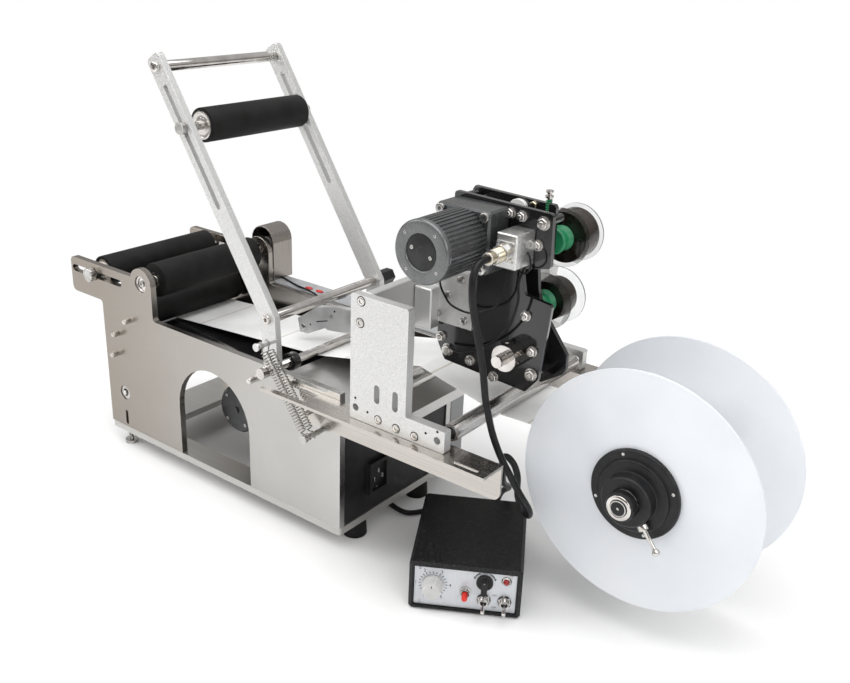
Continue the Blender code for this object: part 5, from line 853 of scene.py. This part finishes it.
# The coder's motor: a ribbed dark grey casting with a lighter end rim, a recessed dark disc in its face
# with two screws, and behind it a square gearbox held by four socket screws.
cast_grey = finish("cast_grey", (0.062, 0.065, 0.066), (0.08, 0.083, 0.085), 0.5, (0.22, 0.34),
                   (60, 60, 60), 2600, 0.15, 0.35, 0.25)
rim_grey = finish("rim_grey", (0.13, 0.133, 0.135), (0.155, 0.158, 0.16), 0.6, (0.22, 0.32),
                  (60, 60, 60), 2200, 0.1, 0.3, 0.2)
face_black = finish("face_black", (0.014, 0.014, 0.015), (0.03, 0.03, 0.032), 0.3, (0.3, 0.42),
                    (60, 60, 60), 2200, 0.1, 0.1)
motor_x, motor_z = 514.8, 355.1
ribs = []
for i in range(44):
    for share, reach in ((0.0, 28.4), (0.34, 28.4), (0.46, 29.8), (0.88, 29.8)):
        turn = 2 * math.pi * (i + share) / 44
        ribs.append((motor_x + reach * math.cos(turn), motor_z + reach * math.sin(turn)))
flat_piece("motor_ribs", ribs, along_y, -17.9, 37.9, cast_grey, "frame", "motor_grey",
           ("coder_motor",), 0.3)
turned("motor_rim", at(motor_x, 0, motor_z), "Y",
       [(17, -22.8), (17.6, -23.7), (28.4, -23.7), (30, -22), (30, -17.8), (17, -17.6), (17, -22.8)],
       rim_grey, "frame", "motor_grey", (), 0.5, 96)
turned("motor_face", at(motor_x, 0, motor_z), "Y",
       [(0, -23), (5, -23), (5.3, -22.6), (16.9, -22.6), (16.9, -18), (0, -18)], face_black, "frame",
       "black_metal", (), 0.3, 72)
for i, (x, z) in enumerate(((-10.5, 3), (10.5, -3))):
    cap_screw(f"face_screw_{i + 1}", at(motor_x + x, -22.6, motor_z + z), (0, -1, 0), 1.9, 0.9, steel,
              "frame", socket=0.55)
for i in range(4):
    turn = math.radians(50 + 90 * i)
    cap_screw(f"rim_screw_{i + 1}",
              at(motor_x + 23.5 * math.cos(turn), -23.6, motor_z + 23.5 * math.sin(turn)),
              (0, -1, 0), 1.5, 0.5, steel, "frame", socket=0.55)
dress("coder_gearbox", cast_grey, 0.5)
for i, (x, z) in enumerate(((-24.7, -24.7), (24.7, -24.7), (24.7, 24.7), (-24.7, 24.7))):
    cap_screw(f"gearbox_screw_{i + 1}", at(motor_x + x, 38.3, motor_z + z), (0, -1, 0), 4.7, 3.2,
              steel, "frame")

# The block beside the gearbox takes the thick cord: bare alloy, with a square flange and four screws
# round a nickelled brass gland.
brass = finish("nickelled_brass", (0.42, 0.36, 0.26), (0.62, 0.55, 0.42), 1, (0.16, 0.3),
               (90, 90, 90), 1600, 0.03, 0.5)
bare_alloy = finish("bare_alloy", (0.55, 0.55, 0.545), (0.72, 0.72, 0.71), 0.9, (0.24, 0.38),
                    (14, 400, 400), 2000, 0.05, 0.6)
dress("coder_block", bare_alloy, 0.4)
flat_piece("gland_flange", corners(552.6, 341.6, 573.4, 362.4, 2), along_y, 38.6, 40.1, bare_alloy,
           "frame", "grey_metal", ease=0.3)
for i, (x, z) in enumerate(((555, 344), (571, 344), (571, 360), (555, 360))):
    cap_screw(f"flange_pin_{i + 1}", at(x, 38.6, z), (0, -1, 0), 1.5, 0.9, steel, "frame")
turned("gland_nut", at(563, 0, 352), "Y",
       [(0, 30), (8, 30), (9.3, 31), (9.3, 37.4), (8, 38.5), (0, 38.5)], brass, "frame", "steel", (),
       0.2, 6)
ridges = [(7.2, 29.8)]
for i in range(6):
    ridges += [(7.2, 29 - i * 1.8), (6.6, 28.4 - i * 1.8)]
turned("gland_body", at(563, 0, 352), "Y",
       [(0, 30.2), *ridges, (6.2, 17.6), (6.1, 11), (4.6, 9.8), (0, 9.8)], brass, "frame", "steel",
       (), 0.2, 48)

# The feed roller shows in the near cheek as a chromed collar with two set screws, and two clear
# spools behind carry the dark ink ribbon on green hubs.
dress("feed_collar", chrome, 0.5)
for i, turn in enumerate((100, 190)):
    turn = math.radians(turn)
    cap_screw(f"feed_set_screw_{i + 1}", at(561 + 13.2 * math.cos(turn), 61, 243 + 13.2 * math.sin(turn)),
              (math.cos(turn), 0, math.sin(turn)), 1.8, 0.5, steel, "feed_body")
clear_flange = finish("clear_flange", (0.8, 0.81, 0.81), (0.9, 0.9, 0.9), 0, (0.01, 0.04),
                      (20, 20, 20), 1200, 0, 0, 0, 1, index=1.3)
ribbon_black = finish("ink_ribbon", (0.01, 0.008, 0.007), (0.035, 0.024, 0.018), 0, (0.16, 0.3),
                      (1200, 20, 1200), 1600, 0.06)
hub_green = finish("hub_green", (0.012, 0.16, 0.07), (0.02, 0.24, 0.1), 0, (0.3, 0.45),
                   (80, 80, 80), 1800, 0.05)
for place, x, z, wound in (("upper", 569.5, 348, 25), ("lower", 557, 279.5, 20)):
    body = f"ribbon_{place}_body"
    turned(f"ribbon_{place}_roll", at(x, 0, z), "Y",
           [(8, 131.7), (wound, 131.7), (wound, 158.3), (8, 158.3), (8, 131.7)], ribbon_black, body,
           "black_plastic", (f"ribbon_spool_{place}",), 0.3, 80)
    for side, y in (("near", 130), ("far", 158.4)):
        turned(f"ribbon_{place}_flange_{side}", at(x, y, z), "Y",
               [(8.1, 0), (29, 0), (29, 1.6), (8.1, 1.6), (8.1, 0)], clear_flange, body, "clear",
               (), 0.3, 96)
    turned(f"ribbon_{place}_hub", at(x, 0, z), "Y",
           [(3.2, 129.8), (8, 129.8), (8, 160.4), (3.2, 160.4), (3.2, 129.8)], hub_green, body,
           "black_plastic", (), 0.4, 48)
    turned(f"ribbon_{place}_cone", at(x, 0, z), "Y",
           [(3.2, 112), (11.5, 112), (13, 114), (9, 122), (9, 126), (12.8, 130), (3.2, 130), (3.2, 112)],
           hub_green, body, "black_plastic", (), 0.6, 64)
    turned(f"ribbon_{place}_nut", at(x, 0, z), "Y",
           [(0, 108), (3, 108), (3, 160.2), (6, 160.4), (6, 165), (5, 166), (0, 166)], chrome, body,
           "chrome", (), 0.3, 36)
dress("coder_cam", steel, 0.3)
dress("stamp_head", steel, 0.3)

# Small parts on the coder's top: a bronze nut, a white plastic half disc and a green spring on its
# screw; thin black wires hang in loops over the cheek and tuck in behind the block.
turned("bronze_nut", at(552.7, 100, 382.7), "Y",
       [(0, -3), (3.4, -3), (4, -2.2), (4, 2.2), (3.4, 3), (0, 3)], brass, "frame", "steel", (), 0.2,
       6)
half = [(536 + 9 * math.cos(t * math.pi / 16), 379 + 6.5 * math.sin(t * math.pi / 16))
        for t in range(17)]
white_plastic = finish("white_plastic", (0.7, 0.7, 0.68), (0.8, 0.8, 0.78), 0, (0.3, 0.45),
                       (60, 60, 60), 1500, 0.04)
flat_piece("white_half_disc", half, along_y, 98, 103, white_plastic, "frame", "light_plastic",
           ease=0.3)
follow(wire("green_spring", [(566 + 2.8 * math.cos(i * 0.6), 104.5 + 2.8 * math.sin(i * 0.6),
                              374 + i * 0.16) for i in range(100)], 0.5), hub_green, "frame", "steel")
turned("spring_pin", at(566, 104.5, 0), "Z",
       [(0, 366), (1.9, 366), (1.9, 391), (4, 391.2), (4, 393.5), (2.2, 394), (2.2, 396),
        (3.6, 396.3), (3.6, 398.4), (0, 399)], chrome, "frame", "chrome", (), 0.3, 32)
turned("spring_seat", at(566, 96, 371), "Y", [(0, 0), (4.4, 0), (4.4, 16), (0, 16)], steel, "frame",
       "steel", (), 0.6, 36)
for name, stops, thick in (
        ("wire_low", [(472, 66, 300), (476.3, 62, 293.6), (481.8, 61, 286.3), (492.5, 60, 277.6),
                      (514.7, 60, 275.2), (537.5, 60, 284.8), (548.9, 61, 297.9), (552.3, 62, 313.7),
                      (553.5, 64, 330), (554, 66, 336)], 1.1),
        ("wire_long", [(570, 66, 337), (568.5, 62, 328), (566.8, 60, 317.2), (568.2, 59, 301.1),
                       (562.8, 59, 280), (551.1, 60, 261), (533, 60, 245), (509.8, 61, 233),
                       (495, 63, 230), (487, 68, 231)], 1.3),
        ("wire_small", [(574, 60, 350), (578, 58, 345), (579, 58, 336), (574, 59, 330),
                        (567, 61, 329), (562, 64, 333), (560, 67, 338)], 0.9)):
    places = smooth_route(stops, 2)
    piece = follow(strand(name, places, thick), cord_black, "frame", "rubber")

# A thin black cable lies over the drive housing's lid and runs down to the label sensor's top.
# It is 2.4 mm thick and bends easily, so it follows the lid and then hangs a little.
places = smooth_route([(92, 218, 176.1), (112, 212, 176.2), (140, 203.5, 176.6), (168, 197, 178),
                       (196, 186, 178.5), (222, 168, 180), (243, 146, 184), (256, 128, 186),
                       (262, 119.8, 184)], 2)
piece = follow(strand("sensor_cable", places, 1.2), cord_black, "frame", "rubber")

# The label sensor is a fork of pale grey casting held under the bridge; a socket screw is at its tip,
# and along it two round holes and a slit are drawn as thin pieces of painted shade.
sensor_grey = finish("sensor_grey", (0.52, 0.525, 0.53), (0.66, 0.665, 0.67), 0.5, (0.3, 0.44),
                     (50, 50, 50), 2200, 0.12, 0.3)
dress("label_sensor", sensor_grey, 0.5)
cap_screw("sensor_screw", at(241.5, 111.1, 172.5), (0, -1, 0), 3.6, 1.6, steel, "frame")
# Painted shade: the holes and the slit are thin discs and a strip of the shadow finish laid on the
# casting.
for i, (x, z, radius) in enumerate(((290.7, 204.4, 1.4), (252, 178, 1.2))):
    turned(f"sensor_hole_{i + 1}", at(x, 111, z), "Y",
           [(0, -0.03), (radius, -0.03), (radius, 0.2), (0, 0.2)], shadow, "frame", "black_metal",
           (), 0.02, 24)
flat_piece("sensor_slit", [(262, 183.6), (280, 189.4), (279.6, 190.6), (261.6, 184.8)], along_y,
           110.95, 111.2, shadow, "frame", "black_metal", ease=0)


# The control box stands by itself, turned to the front: a black textured moulding with a brushed
# silver panel set into its face.
box_black = finish("box_black", (0.004, 0.004, 0.0045), (0.03, 0.03, 0.031), 0, (0.35, 0.7),
                   (420, 420, 420), 900, 1, 0.08, spread=(0.5, 0.75), sheen=0.35)
dress("box_case", box_black, 0.6)


def on_panel(side, up, out):
    """A place on the control box's panel: to the right, up, and out of its face."""
    deep = 65.5 + out
    return at(box_x + side * math.cos(box_turn) + deep * math.sin(box_turn),
              box_y + side * math.sin(box_turn) - deep * math.cos(box_turn), 6 + up)


silver = finish("silver_panel", (0.58, 0.6, 0.63), (0.66, 0.68, 0.71), 0.45, (0.36, 0.48),
                (2200, 2200, 30), 2200, 0.04, spread=(0.3, 0.7))
flat_piece("box_panel", corners(-51.5, -22.5, 51.5, 23.5, 1), on_panel, 0.02, 0.35, silver, "frame",
           "light_plastic", ease=0.1)
front = Vector((math.sin(box_turn), -math.cos(box_turn), 0))
sideways = Vector((math.cos(box_turn), math.sin(box_turn), 0))
# Painted shade: dark strips of the shadow finish on both sides of the box stand for the shade in the
# notches of its side rails.
for i in range(9):
    for end, edge in (("left", -57.05), ("right", 57.05)):
        flat_piece(f"box_notch_shade_{end}_{i + 1}", corners(40 - i * 11, -16, 46 - i * 11, 18, 1),
                   lambda a, b, d, e=edge: on_panel(e + (d if e > 0 else -d), b, a - 65.5), 0, 0.25,
                   shadow, "frame", "black_plastic", ease=0.05)
for i, side in enumerate((-46, 46)):
    for k, up in enumerate((-19.5, 20.5)):
        cap_screw(f"panel_screw_{i + 1}_{k + 1}", on_panel(side, up, 0.3), front, 1.5, 0.7, steel,
                  "frame")

# The speed dial: a fluted pale plastic knob with a black pointer line. Ticks and plain numbers go
# round it on the panel.
dial_plastic = finish("dial_plastic", (0.5, 0.5, 0.49), (0.6, 0.6, 0.59), 0, (0.32, 0.46),
                      (70, 70, 70), 2000, 0.06)
ink = finish("printed_ink", (0.008, 0.008, 0.009), (0.02, 0.02, 0.02), 0, (0.4, 0.6), (200, 200, 200),
             2000, 0.02)
dial_side, dial_up = -32.5, 3
turned("speed_dial", on_panel(dial_side, dial_up, 0), front,
       [(0, 0.8), (11, 0.8), (11, 5), (10.4, 5.4), (9.4, 15.2), (8.6, 16), (0, 16)], dial_plastic,
       "speed_body", "light_plastic", ("speed_knob",), 0.5, 192,
       lambda turn: 1 - 0.05 * (0.5 + 0.5 * math.cos(20 * turn)))
flat_piece("speed_pointer", corners(-32.9, 8, -32.1, 11), on_panel, 15.8, 16.2, ink, "speed_body",
           "black_plastic", ease=0)


def word(name, text, size, centre, made, body):
    """A printed word or number lying on the box's panel."""
    drawn = bpy.data.curves.new(name, "FONT")
    drawn.body = text
    drawn.size = size / 1000
    drawn.align_x = "CENTER"
    drawn.align_y = "CENTER"
    drawn.extrude = 0.00004
    piece = bpy.data.objects.new(name, drawn)
    bpy.context.collection.objects.link(piece)
    piece.matrix_world = Matrix.Translation(centre) @ Matrix(
        (sideways, Vector((0, 0, 1)), front)).transposed().to_4x4()
    return follow(piece, made, body, "black_plastic")


for i in range(21):
    turn = math.radians(240 - 15 * i)
    a, b = math.cos(turn), math.sin(turn)
    ring = [(dial_side + a * r - b * w, dial_up + b * r + a * w)
            for r, w in ((12.4, -0.35), (14.8, -0.35), (14.8, 0.35), (12.4, 0.35))]
    flat_piece(f"dial_tick_{i + 1}", ring, on_panel, 0.34, 0.42, ink, "frame", "black_plastic", ease=0)
    if i % 4 == 0:
        word(f"dial_number_{i // 4}", str(i // 4), 5,
             on_panel(dial_side + 17.4 * a, dial_up + 17.4 * b, 0.4), ink, "frame")

# The red push button sits in a steel bush, the black pointer knob has a white line, and the red lamp
# looks out of a chromed bezel in the corner.
turned("button_cap", on_panel(0.5, -2.5, 0), front,
       [(0, 3), (3, 3), (3, 13.2), (2.2, 14), (0, 14.2)], red_rubber, "button_body", "red",
       ("box_button",), 0.5, 40)
turned("button_bush", on_panel(0.5, -2.5, 0), front,
       [(3.15, 0.3), (6.2, 0.3), (6.2, 1.6), (4.6, 1.8), (4.6, 5), (3.15, 5), (3.15, 0.3)], steel,
       "frame", "steel", (), 0.3, 48)
dress("selector_knob", black_plastic, 0.6)
flat_piece("selector_line", corners(19.1, 12.5, 19.9, 19), on_panel, 13.95, 14.2, white_plastic,
           "selector_body", "light_plastic", ease=0)
knob_side, knob_up = 19.5, 11.5
for end, out in (("left", -1), ("right", 1)):
    bend = [(knob_side + out * 11.6 * math.sin(t), knob_up + 11.6 * math.cos(t))
            for t in (0.45 + 0.08 * i for i in range(9))]
    inner = [(knob_side + out * 10.4 * math.sin(t), knob_up + 10.4 * math.cos(t))
             for t in (0.45 + 0.08 * i for i in range(9))]
    flat_piece(f"selector_arc_{end}", bend + inner[::-1], on_panel, 0.34, 0.42, ink, "frame",
               "black_plastic", ease=0)
    t = 1.2
    tip = [(knob_side + out * 11 * math.sin(t + 0.16), knob_up + 11 * math.cos(t + 0.16)),
           (knob_side + out * 12.5 * math.sin(t - 0.06), knob_up + 12.5 * math.cos(t - 0.06)),
           (knob_side + out * 9.6 * math.sin(t - 0.06), knob_up + 9.6 * math.cos(t - 0.06))]
    flat_piece(f"selector_tip_{end}", tip, on_panel, 0.34, 0.42, ink, "frame", "black_plastic", ease=0)
lamp_red = finish("lamp_red", (0.25, 0.004, 0.004), (0.4, 0.01, 0.01), 0, (0.05, 0.12), (200, 200, 200),
                  900, 0.01, 0, 0.5)
turned("lamp_bezel", on_panel(41, 15, 0), front,
       [(3.3, 0.3), (5.2, 0.3), (5.2, 1.2), (4.2, 2.4), (3.3, 2.4), (3.3, 0.3)], steel, "frame",
       "chrome", (), 0.2, 40)
turned("lamp_dome", on_panel(41, 15, 0), front,
       [(0, 0.3), (3.25, 0.3), (3.25, 2.4), (2.6, 4), (1.2, 4.9), (0, 5)], lamp_red, "frame",
       "red", (), 0.5, 32)

# Two toggle switches stand below: a threaded steel bush through a hexagon nut, and a short lever
# that thickens to a round tip.
for name, side in (("left", 19.5), ("right", 40.5)):
    turned(f"toggle_nut_{name}", on_panel(side, -9.5, 0), front,
           [(4.2, 0.3), (6.2, 0.3), (7.2, 0.8), (7.2, 2), (6.2, 2.5), (4.2, 2.5), (4.2, 0.3)],
           steel, "frame", "steel", (), 0.15, 6)
    thread = [(4.5, 2.2)]
    for i in range(5):
        thread += [(4.65, 2.6 + i * 0.9), (4.3, 3.05 + i * 0.9)]
    turned(f"toggle_bush_{name}", on_panel(side, -9.5, 0), front,
           [(3.25, 0.3), *thread, (4.5, 7.1), (3.25, 7.1), (3.25, 3)], steel, "frame", "steel", (),
           0.12, 40)
    dress(f"toggle_{name}", ground, 0.3)
word("switch_word_on", "ON", 2.8, on_panel(30, -3.5, 0.4), ink, "frame")
word("switch_word_off", "OFF", 2.8, on_panel(30, -18, 0.4), ink, "frame")


# A plain pale bench and soft studio light: one wide lamp above, one at the left and a weak one at the
# right. A brown card out of view gives the bright metal something to mirror.
def stage_plane(name, size, place, look, made):
    bm = bmesh.new()
    bmesh.ops.create_grid(bm, x_segments=1, y_segments=1, size=size / 2)
    mesh = bpy.data.meshes.new(name)
    bm.to_mesh(mesh)
    bm.free()
    piece = bpy.data.objects.new(name, mesh)
    piece.location = place
    piece.rotation_euler = (Vector(look)).to_track_quat("Z", "Y").to_euler()
    mesh.materials.append(made)
    bpy.context.collection.objects.link(piece)
    return piece


bench = finish("white_bench", (0.9, 0.9, 0.9), (0.93, 0.93, 0.93), 0, (0.6, 0.8), (6, 6, 6), 300, 0.0)
tree = bench.node_tree
spot = tree.nodes.new("ShaderNodeTexCoord")
reach = tree.nodes.new("ShaderNodeVectorMath")
reach.operation = "LENGTH"
tree.links.new(spot.outputs["Object"], reach.inputs[0])
away = tree.nodes.new("ShaderNodeMapRange")
away.interpolation_type = "SMOOTHSTEP"
away.inputs["From Min"].default_value = 0.42
away.inputs["From Max"].default_value = 0.85
tree.links.new(reach.outputs["Value"], away.inputs["Value"])
looked = tree.nodes.new("ShaderNodeLightPath")
both = tree.nodes.new("ShaderNodeMath")
both.operation = "MULTIPLY"
tree.links.new(away.outputs["Result"], both.inputs[0])
tree.links.new(looked.outputs["Is Camera Ray"], both.inputs[1])
glow = tree.nodes.new("ShaderNodeEmission")
glow.inputs["Strength"].default_value = 1
fade = tree.nodes.new("ShaderNodeMixShader")
tree.links.new(both.outputs[0], fade.inputs["Fac"])
tree.links.new(tree.nodes["Principled BSDF"].outputs[0], fade.inputs[1])
tree.links.new(glow.outputs[0], fade.inputs[2])
tree.links.new(fade.outputs[0], tree.nodes["Material Output"].inputs["Surface"])
stage_plane("bench", 14, (0, 0, 0), (0, 0, 1), bench)
card_brown = finish("card_brown", (0.1, 0.075, 0.055), (0.16, 0.12, 0.09), 0, (0.7, 0.9), (4, 4, 4),
                    200, 0.0)
card = stage_plane("card_front", 1.6, (0.2, -2.4, 0.35), (0, 1, 0.1), card_brown)
card.visible_camera = False
card.visible_shadow = False
for name, place, aim, size, power in (
        ("lamp_top", (0.1, -0.3, 2.2), (0, 0, 0.2), 2.4, 42),
        ("lamp_left", (-1.9, -1.5, 1.5), (0, 0, 0.2), 1.4, 26),
        ("lamp_right", (2.2, -0.9, 1.2), (0.1, 0, 0.2), 1.2, 14)):
    data = bpy.data.lights.new(name, "AREA")
    data.shape = "SQUARE"
    data.size = size
    data.energy = power
    lamp = bpy.data.objects.new(name, data)
    lamp.location = place
    lamp.rotation_euler = (Vector(place) - Vector(aim)).to_track_quat("Z", "Y").to_euler()
    bpy.context.collection.objects.link(lamp)
world = bpy.data.worlds.new("studio")
bpy.context.scene.world = world
world.use_nodes = True
tree = world.node_tree
soft = tree.nodes["Background"]
heading = tree.nodes.new("ShaderNodeTexCoord")
rise = tree.nodes.new("ShaderNodeSeparateXYZ")
tree.links.new(heading.outputs["Generated"], rise.inputs["Vector"])
sky = tree.nodes.new("ShaderNodeValToRGB")
sky.color_ramp.elements[0].position = 0.0
sky.color_ramp.elements[0].color = (0.36, 0.32, 0.28, 1)
sky.color_ramp.elements[1].position = 0.45
sky.color_ramp.elements[1].color = (1, 1, 1, 1)
tree.links.new(rise.outputs["Z"], sky.inputs["Fac"])
tree.links.new(sky.outputs["Color"], soft.inputs["Color"])
soft.inputs["Strength"].default_value = 0.62
white = tree.nodes.new("ShaderNodeBackground")
white.inputs["Color"].default_value = (1, 1, 1, 1)
white.inputs["Strength"].default_value = 1
seen = tree.nodes.new("ShaderNodeLightPath")
choose = tree.nodes.new("ShaderNodeMixShader")
tree.links.new(seen.outputs["Is Camera Ray"], choose.inputs["Fac"])
tree.links.new(soft.outputs[0], choose.inputs[1])
tree.links.new(white.outputs[0], choose.inputs[2])
tree.links.new(choose.outputs[0], tree.nodes["World Output"].inputs["Surface"])
